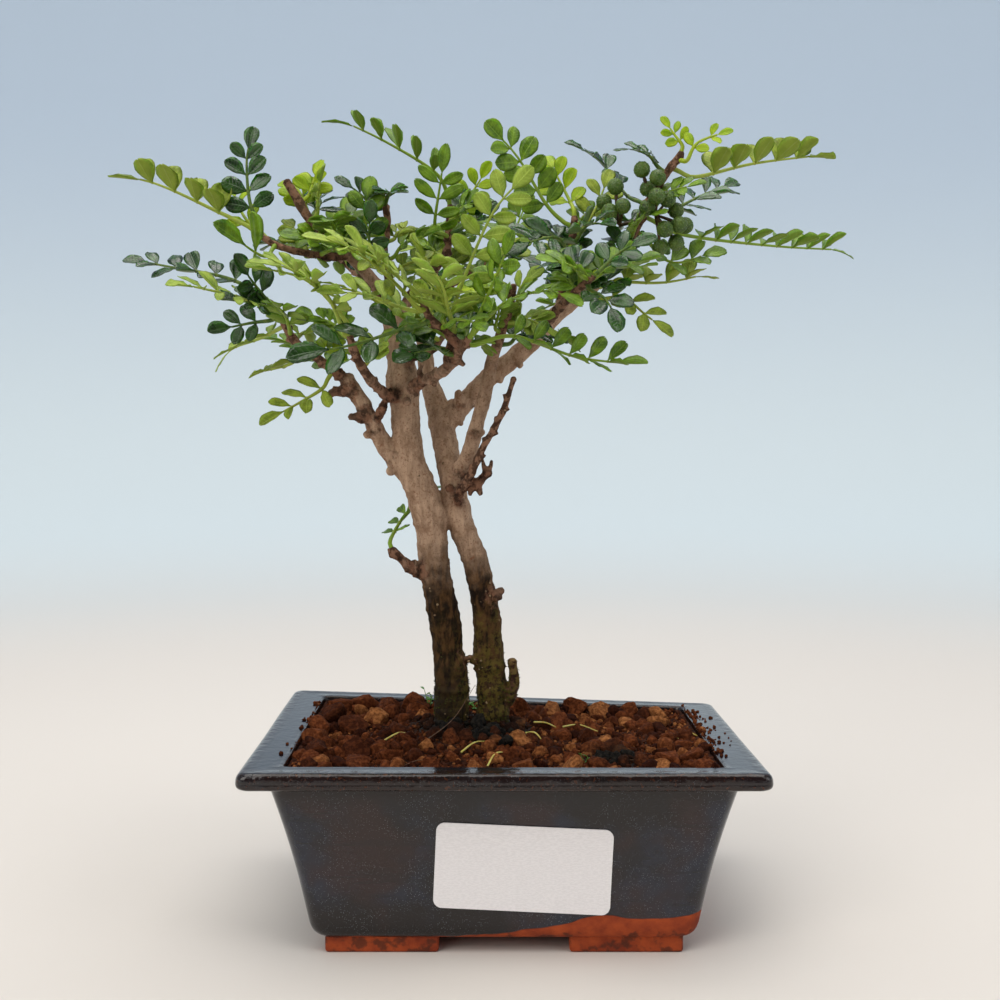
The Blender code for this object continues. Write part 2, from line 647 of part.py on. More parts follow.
def make_soil(trunk_holes):
    """The potting mix: it fills the pot, with clay granules raised from its surface."""
    half_width, half_depth = (half - SOIL_GAP for half in inside_half(SOIL_EDGE))
    floor_z = FOOT_HEIGHT + FLOOR + GAP
    bm = bmesh.new()
    ring = border = soil_surface(bm, half_width, half_depth)
    for z in (SHOULDER, floor_z):
        low_width, low_depth = (half - SOIL_GAP for half in inside_half(z))
        scale = (low_width / half_width, low_depth / half_depth)
        points = [Vector((vert.co.x * scale[0], vert.co.y * scale[1], z)) for vert in border]
        lower = [bm.verts.new(twisted(point)) for point in points]
        for i in range(len(ring)):
            j = (i + 1) % len(ring)
            bm.faces.new((ring[i], ring[j], lower[j], lower[i]))
        ring = lower
    bm.faces.new(ring)
    soil = object_from_bmesh("soil", bm, make_material("akadama", (0.18, 0.06, 0.03), 0.95))
    join_all(soil, make_granules(half_width, half_depth), "UNION")
    cutters = list(trunk_holes)
    for side in (-1, 1):
        outline = square_over_drain(side, MESH_SIDE / 2 + GAP)
        cutters.append(prism("recess", outline, floor_z - SUNK, floor_z + MESH_THICKNESS + GAP))
    join_all(soil, cutters, "DIFFERENCE")
    return soil


def soil_surface(bm, half_width, half_depth):
    """The mounded top of the soil. It gives back the vertices round its border, in order."""
    columns, rows = SOIL_CELLS
    grid = []
    for row in range(rows + 1):
        line = []
        for column in range(columns + 1):
            x = half_width * (2 * column / columns - 1)
            y = half_depth * (2 * row / rows - 1)
            if row in (0, rows) and column in (0, columns):
                x -= math.copysign(SOIL_CORNER_CUT, x)
                y -= math.copysign(SOIL_CORNER_CUT, y)
            line.append(bm.verts.new(twisted(Vector((x, y, soil_height(x, y))))))
        grid.append(line)
    for lower, upper in zip(grid, grid[1:]):
        for i in range(columns):
            bm.faces.new((lower[i], lower[i + 1], upper[i + 1], upper[i]))
    right = [line[-1] for line in grid[1:]]
    left = [line[0] for line in grid[-2:0:-1]]
    return grid[0] + right + grid[-1][-2::-1] + left


def make_granules(half_width, half_depth):
    """Lumps of baked clay, well sunk into the soil and clear of the trunks and of the rim."""
    draw = random.Random(5)
    trunks = [Vector(LIMBS[name][1][:2]) * MM for name in ("left_trunk", "right_trunk")]
    places = []
    granules = []
    while len(granules) < GRANULES:
        size = draw.uniform(*GRANULE_SIZES)
        x = draw.uniform(-1, 1) * (half_width - size - GRANULE_MARGIN)
        y = draw.uniform(-1, 1) * (half_depth - size - GRANULE_MARGIN)
        spot = Vector((x, y))
        crowded = any((spot - other).length < 0.9 * (size + width) for other, width in places)
        if crowded or any((spot - trunk).length < TRUNK_CLEARANCE + size for trunk in trunks):
            continue
        places.append((spot, size))
        bm = bmesh.new()
        bmesh.ops.create_icosphere(bm, subdivisions=1, radius=size)
        for vert in bm.verts:
            vert.co *= draw.uniform(*GRANULE_ROUGHNESS)
        turn = Matrix.Rotation(draw.uniform(0, math.tau), 4, "Z")
        middle = twisted(Vector((x, y, soil_height(x, y) + GRANULE_RISE * size)))
        bm.transform(Matrix.Translation(middle) @ turn)
        granules.append(object_from_bmesh("granule", bm))
    return granules


def limb_frames(points):
    """Centre, direction and two side directions at each point of a route, without twist."""
    frames = []
    side = None
    for i, point in enumerate(points):
        ahead = points[min(i + 1, len(points) - 1)] - points[max(i - 1, 0)]
        direction = ahead.normalized()
        if side is None:
            side = direction.orthogonal().normalized()
        side = (side - direction * side.dot(direction)).normalized()
        frames.append((point, direction, side, direction.cross(side)))
    return frames


def make_limb(name, route, sides, grow=0.0):
    """A tapering round limb along a route of x, y, z and radius in millimetres."""
    points = [Vector(place[:3]) * MM for place in route]
    rings = []
    for (centre, _, across, up), place in zip(limb_frames(points), route):
        radius = place[3] * MM + grow
        angles = [math.tau * i / sides for i in range(sides)]
        rings.append([centre + radius * (math.cos(a) * across + math.sin(a) * up) for a in angles])
    bm = bmesh.new()
    loft(bm, rings)
    return object_from_bmesh(name, bm)


def limb_sides(route):
    """More sides on a thick limb than on a twig."""
    thickest = max(place[3] for place in route)
    if thickest > 4:
        return 9
    return 7 if thickest > 2.2 else 5


def make_wood():
    """The tree's wood: two trunks grown together, with every limb and twig in one solid."""
    limbs = [make_limb(name, route, limb_sides(route)) for name, route in LIMBS.items()]
    wood = limbs[0]
    wood.name = "tree_wood"
    wood.data.materials.append(make_material("bark", (0.20, 0.14, 0.09), 0.85))
    join_all(wood, limbs[1:], "UNION")
    wood.data.set_sharp_from_angle(angle=math.radians(50))
    return wood


def make_trunk_holes():
    """Cutters for the plain holes in which the two trunks stand."""
    holes = []
    for name in ("left_trunk", "right_trunk"):
        x, y, z, radius = LIMBS[name][0]
        route = [(x, y, z - 2 * GAP / MM, radius), (x, y, POT_HEIGHT / MM + 20, radius)]
        holes.append(make_limb("trunk_hole", route, limb_sides(LIMBS[name]), 2 * GAP))
    return holes


def smooth_path(points):
    """Points along a smooth curve through the given ones."""
    ends = [2 * points[0] - points[1], *points, 2 * points[-1] - points[-2]]
    path = []
    for a, b, c, d in zip(ends, ends[1:], ends[2:], ends[3:]):
        for step in range(PATH_STEPS):
            t = step / PATH_STEPS
            square = (2 * a - 5 * b + 4 * c - d) * t**2
            cube = (3 * b - a - 3 * c + d) * t**3
            path.append((2 * b + (c - a) * t + square + cube) / 2)
    return path + [points[-1]]


def at_length(path, distance):
    """The point a given distance along a path, and the path's direction there."""
    for start, end in zip(path, path[1:]):
        step = (end - start).length
        if distance <= step or end is path[-1]:
            return start + (end - start) * (distance / step), (end - start).normalized()
        distance -= step


def seat_on_limb(wood_tree, limb, back, towards):
    """Where a stalk that heads for a point leaves the wood, and the way it leaves.

    The seat is a distance back from the limb's tip. A stalk at the very tip goes straight on, and
    one further back leaves the limb's side and leans towards its end.
    """
    route = [Vector(place[:3]) * MM for place in LIMBS[limb]]
    centre, inward = at_length(route[::-1], back * MM)
    out = (towards - centre).normalized()
    if back > 0:
        along = inward * out.dot(inward)
        out = (LEAVING_SIDE * (out - along).normalized() + LEAVING_ALONG * along).normalized()
    else:
        out = (out - inward).normalized()
    start = centre + out * OUTSIDE_WOOD
    hit = wood_tree.ray_cast(start, -out)[0]
    return hit + out * SEAT_GAP, out


class Frond:
    """One pinnate leaf: a flat rachis with paired leaflets and a leaflet at its tip, as one thin skin."""

    def __init__(self, name, wood_tree):
        limb, back, route, self.pairs, length, face, _ = FRONDS[name]
        self.draw = random.Random(name)
        self.length = length * MM
        self.fold = CLOSED_FOLDS.get(name, FOLD)
        self.face = Vector(face).normalized()
        points = [Vector(place) * MM for place in route]
        root, out = seat_on_limb(wood_tree, limb, back, points[0])
        self.path = smooth_path([root, root + out * LEAD_IN, *points])
        whole = sum((b - a).length for a, b in zip(self.path, self.path[1:]))
        self.rachis = whole - self.length
        self.widest = self.length
        self.bm = bmesh.new()

    def frame(self, distance):
        """Place, forward, side and up on the rachis."""
        place, forward = at_length(self.path, distance)
        side = self.face.cross(forward).normalized()
        return place, forward, side, forward.cross(side)

    def two_sided(self, place, normal, thickness):
        """A vertex on the upper side and one on the lower side."""
        half = normal * thickness / 2
        return self.bm.verts.new(place + half), self.bm.verts.new(place - half)

    def skin(self, a, b, c):
        """A triangle on the upper side and its match on the lower side."""
        self.bm.faces.new((a[0], b[0], c[0]))
        self.bm.faces.new((c[1], b[1], a[1]))

    def wall(self, a, b):
        """The narrow edge between both sides."""
        self.bm.faces.new((a[0], b[0], b[1]))
        self.bm.faces.new((a[0], b[1], a[1]))

    def leaflet(self, first, last, distance, angle, side_sign, length):
        """A leaflet that grows from the edge between two pairs of rachis vertices."""
        place, forward, side, up = self.frame(distance)
        turn = math.radians(angle)
        fold = math.radians(self.fold + self.draw.uniform(-FOLD_VARIES, FOLD_VARIES)) if angle else 0
        tilt = math.radians(self.draw.uniform(-TILT_VARIES, TILT_VARIES))
        outward = side_sign * side * math.cos(fold) + up * math.sin(fold)
        axis = forward * math.cos(turn) + outward * math.sin(turn)
        across = forward * math.sin(turn) - outward * math.cos(turn)
        normal = side_sign * across.cross(axis)
        across = across * math.cos(tilt) + normal * math.sin(tilt)
        normal = side_sign * across.cross(axis)
        half = min(LEAFLET_WIDTH * length, self.widest) / 2
        near, far = [first], [last]
        for share, width in LEAFLET_SHAPE:
            middle = place + axis * share * length
            near.append(self.two_sided(middle - across * width * half, normal, BLADE_THICKNESS))
            far.append(self.two_sided(middle + across * width * half, normal, BLADE_THICKNESS))
        tip = self.two_sided(place + axis * length, normal, BLADE_THICKNESS)
        for i in range(len(near) - 1):
            self.skin(near[i], near[i + 1], far[i + 1])
            self.skin(near[i], far[i + 1], far[i])
            self.wall(near[i], near[i + 1])
            self.wall(far[i], far[i + 1])
        self.skin(near[-1], tip, far[-1])
        self.wall(near[-1], tip)
        self.wall(far[-1], tip)

    def station(self, distance):
        """The left and right edge of the rachis at a distance."""
        place, _, side, up = self.frame(distance)
        half = side * RACHIS_WIDTH / 2
        left = self.two_sided(place + half, up, RACHIS_THICKNESS)
        right = self.two_sided(place - half, up, RACHIS_THICKNESS)
        return left, right

    def build(self):
        """Runs along the rachis, with a leaflet out to each side at every pair."""
        first = self.rachis * (FIRST_PAIR if self.pairs > 2 else FIRST_OF_FEW)
        last = self.rachis - LAST_PAIR * self.length
        gaps = max(self.pairs - 1, 1)
        if self.pairs > 1:
            self.widest = CLEAR_SHARE * (last - first) / gaps * math.sin(math.radians(TIP_ANGLE))
        left, right = self.station(0)
        self.wall(left, right)
        for pair in range(self.pairs):
            share = pair / gaps
            distance = first + (last - first) * share if self.pairs > 1 else last
            angle = BASE_ANGLE + (TIP_ANGLE - BASE_ANGLE) * share
            length = self.length * (0.86 + 0.14 * math.sin(math.pi * (0.2 + 0.7 * share)))
            near = self.station(distance - LEAFLET_FOOT)
            far = self.station(distance + LEAFLET_FOOT)
            self.strip((left, right), near, walled=True)
            self.strip(near, far, walled=False)
            self.leaflet(near[0], far[0], distance, angle, 1, length)
            self.leaflet(near[1], far[1], distance, angle, -1, length)
            left, right = far
        end = self.station(self.rachis)
        self.strip((left, right), end, walled=True)
        self.leaflet(end[0], end[1], self.rachis, 0, 1, self.length)
        return self.bm

    def strip(self, start, end, walled):
        """One stretch of the rachis between two stations."""
        self.skin(start[0], end[0], end[1])
        self.skin(start[0], end[1], start[1])
        if walled:
            self.wall(start[0], end[0])
            self.wall(start[1], end[1])


def make_bunch(name, wood_tree, material):
    """A bunch of round berries on stalks that part from one stem."""
    limb, back, hub, berries = BUNCHES[name]
    hub = Vector(hub)
    root = seat_on_limb(wood_tree, limb, back, hub * MM)[0] / MM
    stem = [(*root, 0.8), (*(0.5 * (root + hub)), 0.7), (*(hub + 0.1 * (hub - root)), 0.7)]
    bunch = make_limb(name, stem, 5)
    bunch.data.materials.append(material)
    tools = []
    for berry in berries:
        centre = Vector(berry)
        route = [(*(hub + 0.02 * (hub - centre)), STALK_RADIUS / MM), (*centre, STALK_RADIUS / MM)]
        tools.append(make_limb("stalk", route, 3))
        bm = bmesh.new()
        bmesh.ops.create_icosphere(bm, subdivisions=1, radius=BERRY_RADIUS)
        bm.transform(Matrix.Translation(centre * MM))
        tools.append(object_from_bmesh("berry", bm))
    join_all(bunch, tools, "UNION")
    return bunch


def main():
    """Builds the pot, what fills it, the tree, its fronds and its fruit."""
    clear_scene()
    make_pot()
    make_drain_mesh("drain_mesh_left", -1)
    make_drain_mesh("drain_mesh_right", 1)
    make_label()
    make_soil(make_trunk_holes())
    wood = make_wood()
    bm = bmesh.new()
    bm.from_mesh(wood.data)
    wood_tree = BVHTree.FromBMesh(bm)
    bm.free()
    fruit_material = make_material("berry", (0.06, 0.10, 0.02), 0.35)
    for name in BUNCHES:
        make_bunch(name, wood_tree, fruit_material)
    leaf_materials = {green: make_material("leaf_" + green, color, 0.4) for green, color in GREENS.items()}
    for name, values in FRONDS.items():
        material = leaf_materials[values[-1]]
        object_from_bmesh("frond_" + name, Frond(name, wood_tree).build(), material)


main()
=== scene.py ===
"""Looks of a Chinese pepper bonsai in a glazed rectangular pot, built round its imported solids.

Metres, +Z up, in the frame of the solids: the origin is on the table under the middle of the pot,
X runs along the pot's long side, and the pot's front faces -Y. Tables are in millimetres, scaled by MM.
"""

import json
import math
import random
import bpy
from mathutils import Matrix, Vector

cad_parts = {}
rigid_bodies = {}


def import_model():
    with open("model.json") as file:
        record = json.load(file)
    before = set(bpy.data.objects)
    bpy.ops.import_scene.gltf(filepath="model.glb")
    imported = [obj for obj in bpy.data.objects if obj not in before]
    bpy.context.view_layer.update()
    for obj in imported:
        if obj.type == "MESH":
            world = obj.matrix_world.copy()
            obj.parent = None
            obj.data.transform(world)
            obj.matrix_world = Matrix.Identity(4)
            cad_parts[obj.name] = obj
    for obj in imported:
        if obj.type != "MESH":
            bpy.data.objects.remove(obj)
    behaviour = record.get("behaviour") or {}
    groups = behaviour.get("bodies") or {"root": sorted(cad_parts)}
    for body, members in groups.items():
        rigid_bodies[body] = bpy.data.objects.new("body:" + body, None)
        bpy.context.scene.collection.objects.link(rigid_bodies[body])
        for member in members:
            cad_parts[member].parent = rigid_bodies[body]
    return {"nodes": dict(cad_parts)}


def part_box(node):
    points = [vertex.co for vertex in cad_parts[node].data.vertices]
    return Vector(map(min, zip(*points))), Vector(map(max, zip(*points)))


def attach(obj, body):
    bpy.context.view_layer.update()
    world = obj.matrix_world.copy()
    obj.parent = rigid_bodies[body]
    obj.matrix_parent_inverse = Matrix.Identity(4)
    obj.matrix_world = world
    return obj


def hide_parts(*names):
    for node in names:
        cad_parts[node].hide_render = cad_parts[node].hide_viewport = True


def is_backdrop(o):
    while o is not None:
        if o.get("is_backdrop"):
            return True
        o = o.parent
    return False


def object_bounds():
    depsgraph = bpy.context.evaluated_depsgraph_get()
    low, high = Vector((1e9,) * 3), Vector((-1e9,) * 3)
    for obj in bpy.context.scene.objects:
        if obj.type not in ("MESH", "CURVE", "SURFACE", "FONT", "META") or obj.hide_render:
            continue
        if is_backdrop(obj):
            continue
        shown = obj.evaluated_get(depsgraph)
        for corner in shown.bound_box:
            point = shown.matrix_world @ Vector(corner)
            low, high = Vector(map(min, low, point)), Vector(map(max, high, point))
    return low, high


bl_info = {
    "name": "Chinese Pepper Bonsai",
    "version": (1, 0, 0),
    "blender": (4, 5, 0),
    "location": "3D View > Sidebar > Bonsai",
    "description": "Dresses the solids of a potted pepper bonsai with fine leaves, bark, soil and glaze",
    "category": "Object",
}

import bmesh
import bpy
import numpy as np
from mathutils import Matrix, Vector, noise
from mathutils.bvhtree import BVHTree
from mathutils.kdtree import KDTree

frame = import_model()

MM = 0.001

# Pot
POT_LOW, POT_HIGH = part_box("pot")
RIM_HALF_X = (POT_HIGH.x - POT_LOW.x) / 2
RIM_HALF_Y = (POT_HIGH.y - POT_LOW.y) / 2
POT_HEIGHT = 55 * MM
RIM_BAND = 5.5 * MM
RIM_TOP_SIDE = 12.5 * MM
RIM_TOP_FRONT = 9 * MM
RIM_CORNER = 3 * MM
RIM_TWIST = 2.5 * MM
OVERHANG = 7.5 * MM
WALL = 4.5 * MM
FLOOR = 4.5 * MM
SHOULDER = 44 * MM
FOOT_HEIGHT = 4.5 * MM
BASE_HALF_X = 57 * MM
BASE_HALF_Y = 46.5 * MM
BASE_CORNER = 4 * MM
BASE_EDGE = 4 * MM
BODY_CORNER = 5.5 * MM
WALL_HOLLOW = 0.7 * MM
WOBBLE = 0.18 * MM
FOOT_LENGTH = 33 * MM
FOOT_DEPTH = 28 * MM
FOOT_LEG = 9 * MM
FOOT_OUTER_X = 52 * MM
FOOT_OUTER_Y = 44.5 * MM
FOOT_EDGE = 0.9 * MM
SUNK = 1 * MM
DRAIN_RADIUS = 6 * MM
DRAIN_X = 27 * MM
DRAIN_SIDES = 32
CORNER_STEPS = 7
SIDE_STEPS = 22
ROUNDING_STEPS = 5
LONGEST_STEP = 3 * MM

# Where the glaze ends above the base, as shares of GLAZE_LINE_SPAN from the left and of GLAZE_LINE_TOP
GLAZE_LINE_SPAN = 120 * MM
GLAZE_LINE_TOP = 15 * MM
GLAZE_LINE = ((0, 0.31), (0.43, 0.39), (0.63, 0.55), (0.745, 0.80), (0.81, 0.71), (1, 0.86))

# Label
LABEL_WIDTH = 51 * MM
LABEL_HEIGHT = 25 * MM
LABEL_THICKNESS = 0.3 * MM
LABEL_CORNER = 2.5 * MM
LABEL_X = 5.5 * MM
LABEL_Z = 25.5 * MM
LABEL_TILT = 2.7
LABEL_RINGS = 12

# Soil
SOIL_EDGE = 51.5 * MM
SOIL_GAP = 0.4 * MM
MOUND_HEIGHT = 6 * MM
MOUND_SPREAD = 24 * MM
MOUND_CENTRE = Vector((-10 * MM, 5 * MM))
SOIL_CELLS = (150, 104)
SOIL_RELIEF = 0.8 * MM
GRANULES = 36
GRANULE_SIZES = (2.6 * MM, 4.6 * MM)
GRANULE_MARGIN = 1.5 * MM
GRANULE_ROUGHNESS = (0.8, 1.12)
GRANULE_DRAWS = 12
GRANULE_RISE = 0.15
TRUNK_CLEARANCE = 9.5 * MM

# Fronds
FOLD = 18
CLOSED_FOLDS = {
    "left_long": 58, "right_long": 58, "right_thin": 42, "right_under": 50, "centre_long": 52,
    "low_right": 34,
}
BASE_ANGLE = 68
TIP_ANGLE = 52
LEAFLET_WIDTH = 0.66
SEAT_GAP = 0.5 * MM
LEAD_IN = 2.2 * MM
PATH_STEPS = 6
FIRST_PAIR = 0.30
FIRST_OF_FEW = 0.45
LAST_PAIR = 0.40
FOLD_VARIES = 8
TILT_VARIES = 13
OUTSIDE_WOOD = 6.6 * MM
LEAVING_SIDE = 0.85
LEAVING_ALONG = 0.6
PAIR_SPACING = 1.02
RACHIS_BASE = 0.78 * MM
RACHIS_TIP = 0.30 * MM
STALK_SUNK = 1.6 * MM
RACHIS_STEPS = 24
NODE_SWELL = 1.35
NODE_REACH = 0.45 * MM
BREADTHS = (0.84, 1.04)
TURN_VARIES = 7
RACHIS_COLOR = (0.27, 0.33, 0.06)
GREEN_FINISH = {
    "dark": (0.20, 0.22, 0.6), "mid": (0.34, 0.32, 0.3), "pale": (0.44, 0.36, 0.22),
    "lime": (0.42, 0.28, 0.22), "olive": (0.42, 0.40, 0.2),
}

# Wood
RING_SPACING = 1.6 * MM
THINNEST_TWIG = 0.85 * MM
SCAR_PITCH = 6.5 * MM
JUNCTION_SWELL = 1.18
TIP_SWELL = 1.12
BUD_RADIUS = 1.25 * MM
WOOD_VOXEL = 0.46 * MM
WOOD_KEPT = 0.70
THIN_KNOT = 5.0 * MM
THICK_KNOT = 3.4 * MM
PRONG_KNOT = 2.6 * MM
KNOBS = 5
KNOB_SIZES = (0.3, 0.55)
CUT_REACH = 1.9 * MM
BUDDED_GIRTH = 2.6 * MM
BUD_PITCH = 3.9 * MM
BUD_SIZES = (0.5 * MM, 0.9 * MM)
CUT_LIMBS = ("middle_twig", "left_stub", "left_low_stub", "trunk_knob", "high_spur")

SPECULAR_LEVEL = 0.3
BLACK = (0, 0, 0)
BANK_HEIGHT = 2.4 * MM
BANK_REACH = 11 * MM

# Crumbs on the rim: the side, the middle along Y in half depths, how many and how far out in millimetres
CRUMB_SIZES = (0.25 * MM, 0.95 * MM)
SPILLS = (
    (1, 0.48, 34, 2.2), (1, 0.12, 46, 1.8), (1, -0.22, 22, 2.4), (1, -0.5, 8, 1.2), (1, 0.7, 10, 1.2),
    (-1, 0.55, 9, 1.4), (-1, 0.1, 6, 1.0), (-1, -0.45, 5, 1.2),
)

# Black bits of bark: the middle of each heap, its spread in millimetres, and how many
CHARRED_SIZES = (0.7 * MM, 3.0 * MM)
CHARRED_SPOTS = ((-4, -10, 4.2, 26), (-12, -3, 5, 18), (34, -25, 4, 16))
DARK_PATCHES = (((-10 * MM, 5 * MM), 26 * MM, 13 * MM), ((33 * MM, -25 * MM), 14 * MM, 5 * MM))
KNOT_ROUGHNESS = 2.2

# Small fronds between the large ones: the limbs, and how far back from each limb's tip their seats are
FILLERS = {
    "front_limb": (1.5, 4, 8), "front_spur": (1.4, 5), "front_red_twig": (4.2, 7, 10, 13),
    "knuckle_twig": (3, 8, 13), "left_high_limb": (12, 15, 20, 24, 28), "left_mid_twig": (12, 15, 18, 22, 26),
    "left_low_twig": (12, 22), "middle_twig": (6, 12, 18, 24, 28), "centre_high": (2, 5, 9, 13, 17, 22),
    "right_inner_twig": (3, 8, 12.5, 17, 22), "right_rise": (1, 4, 8, 12, 16, 20),
    "right_leader": (20.5, 25, 31, 34, 38), "right_limb": (4, 9, 14), "front_right": (1.4, 5, 9, 13, 17),
    "right_trunk": (3, 7, 11, 15, 20, 26), "centre_back": (6, 10, 14, 18), "back_left_limb": (8, 12, 17, 22),
    "back_right": (5, 11, 16, 20), "high_spur": (0, 3), "bud_spur": (0, 3),
}
FILLER_GREENS = {"mid": 0.42, "olive": 0.20, "dark": 0.26, "lime": 0.05, "pale": 0.07}
FILLER_TRIES = 40
FILLER_RISE = (-5, 60)
FILLER_REACH = (15 * MM, 25 * MM)
FILLER_ROOM = 6.5 * MM
FILLER_CLEAR = 4 * MM
FILLER_LEAFLET = (6.4, 8.0)

# Fronds at the front and in the gaps of the left half, in the same form as the fronds above
EXTRA_FRONDS = {
    "front_sweep": ("front_red_twig", 2.8, [(-31, -45, 193), (-39, -55, 199), (-47, -62, 202.5)],
        4, 9.5, (0.2, -0.6, 0.75), "olive"),
    "front_haze": ("knuckle_twig", 1.6, [(-51.5, -33, 190.5), (-59, -46, 196), (-69, -54, 198.5)],
        4, 9.5, (0.1, -0.5, 0.85), "pale"),
    "front_shade": ("high_spur", 1.4, [(-38.5, -24, 190), (-47, -33, 192.5), (-54, -39, 190.5)],
        3, 9.5, (0, -0.3, 0.95), "olive"),
    "front_reach": ("front_spur", 0, [(-18, -40, 190), (-21.5, -52, 198), (-24, -60, 204)],
        3, 8.5, (-0.1, -0.7, 0.6), "olive"),
    "low_hanging": ("left_low_twig", 14, [(-62, -4, 182), (-64.5, 0, 175)], 1, 9, (0, -0.5, 0.8), "pale"),
    "high_behind": ("left_high_limb", 13.5, [(-58, 2, 224), (-66, 10, 226)],
        3, 7.5, (0, -0.6, 0.7), "dark"),
    "mid_behind": ("left_high_limb", 22, [(-46, 8, 212), (-40.5, 15, 217)], 2, 7.5, (0, -0.6, 0.7), "mid"),
    "left_close": ("left_low_twig", 1.6, [(-76, -20, 196.5), (-80, -26, 203.5)],
        2, 8.5, (0, -0.8, 0.5), "dark"),
    "left_cover": ("left_high_limb", 18.5, [(-57, -14, 208.5), (-66, -21, 211.5)],
        3, 8, (0, -0.7, 0.6), "mid"),
    "left_shadow": ("left_low_twig", 4.2, [(-73.5, -21, 189), (-85, -29, 190.5)],
        3, 8.5, (0, -0.6, 0.7), "dark"),
    "centre_fan": ("front_limb", 0, [(-6, -40, 187), (-1, -50, 197), (2, -56, 206)],
        4, 8, (0.1, -0.7, 0.6), "mid"),
}

# Fronds whose leaflets are long and narrow
SLENDER = (
    "front_left_high", "front_left_mid", "front_left_long", "front_left_dark", "left_pale",
    "left_pair", "front_sweep", "front_haze", "front_shade", "front_reach", "low_hanging",
    "centre_front", "centre_long", "centre_upright", "left_drooping", "left_hanging", "right_thin",
    "low_right",
)
SLENDER_LENGTH = 1.15
SLENDER_BREADTH = 0.78
ROUND = ("left_long", "right_long")
ROUND_BREADTH = 1.3

# Broken ends and short spurs on the wood: x, y, z and radius in millimetres
PRONGS = (
    ((-7.8, -4, 133.6, 1.2), (-7.4, -4.8, 131, 0.8)),
    ((-5.4, -4, 137.5, 1.3), (-6.4, -4.4, 140.5, 0.7), (-7, -4.5, 142.8, 0.6)),
    ((-5.4, -4, 137.5, 1.3), (-4.2, -4.6, 139.4, 0.8), (-3.8, -5, 141.8, 0.6)),
    ((-9.8, -3.6, 133.5, 1.1), (-10.8, -4.2, 130.8, 0.8)),
    ((-33, -1, 110.6, 1.2), (-36, -2.2, 111.4, 0.7), (-36.4, -2.5, 113.8, 0.6)),
    ((-30, -0.5, 108.4, 1.3), (-31, -1.6, 106.6, 0.9)),
    ((-28, 0, 107, 1.4), (-28.6, -0.8, 109.8, 0.9)), ((-53, -6, 163, 1.3), (-55, -6.6, 161.6, 0.9)),
    ((-28, -6, 165, 1.7), (-27, -9, 162.3, 1)), ((-31, -3, 162, 2), (-30, -8, 159.6, 1.1)),
    ((-22, -14, 167.5, 1.4), (-21, -17, 165, 0.8)),
    ((-25, -10, 166, 1.5), (-26, -12, 169.5, 0.9), (-25, -13, 172, 0.7)),
    ((-14.5, -24, 172.5, 1.3), (-12, -26, 170.8, 0.8)),
    ((-16, 2, 131, 2.2), (-17.5, -1.4, 133.5, 1.2)), ((-9, -3, 150, 1.8), (-6.4, -4.6, 150.8, 1)),
    ((-14, 9, 160, 2.4), (-14.6, 4.6, 163.4, 1.2)), ((-2, 10, 170, 2.4), (-1, 7.5, 167, 1.1)),
    ((4, 8, 175, 2.4), (5.4, 5.4, 171.8, 1.2)), ((-40, -3, 151, 2), (-43.6, -4, 149.6, 1.1)),
    ((-36, -1, 143, 2.2), (-37, -4, 145.6, 1.2)),
)

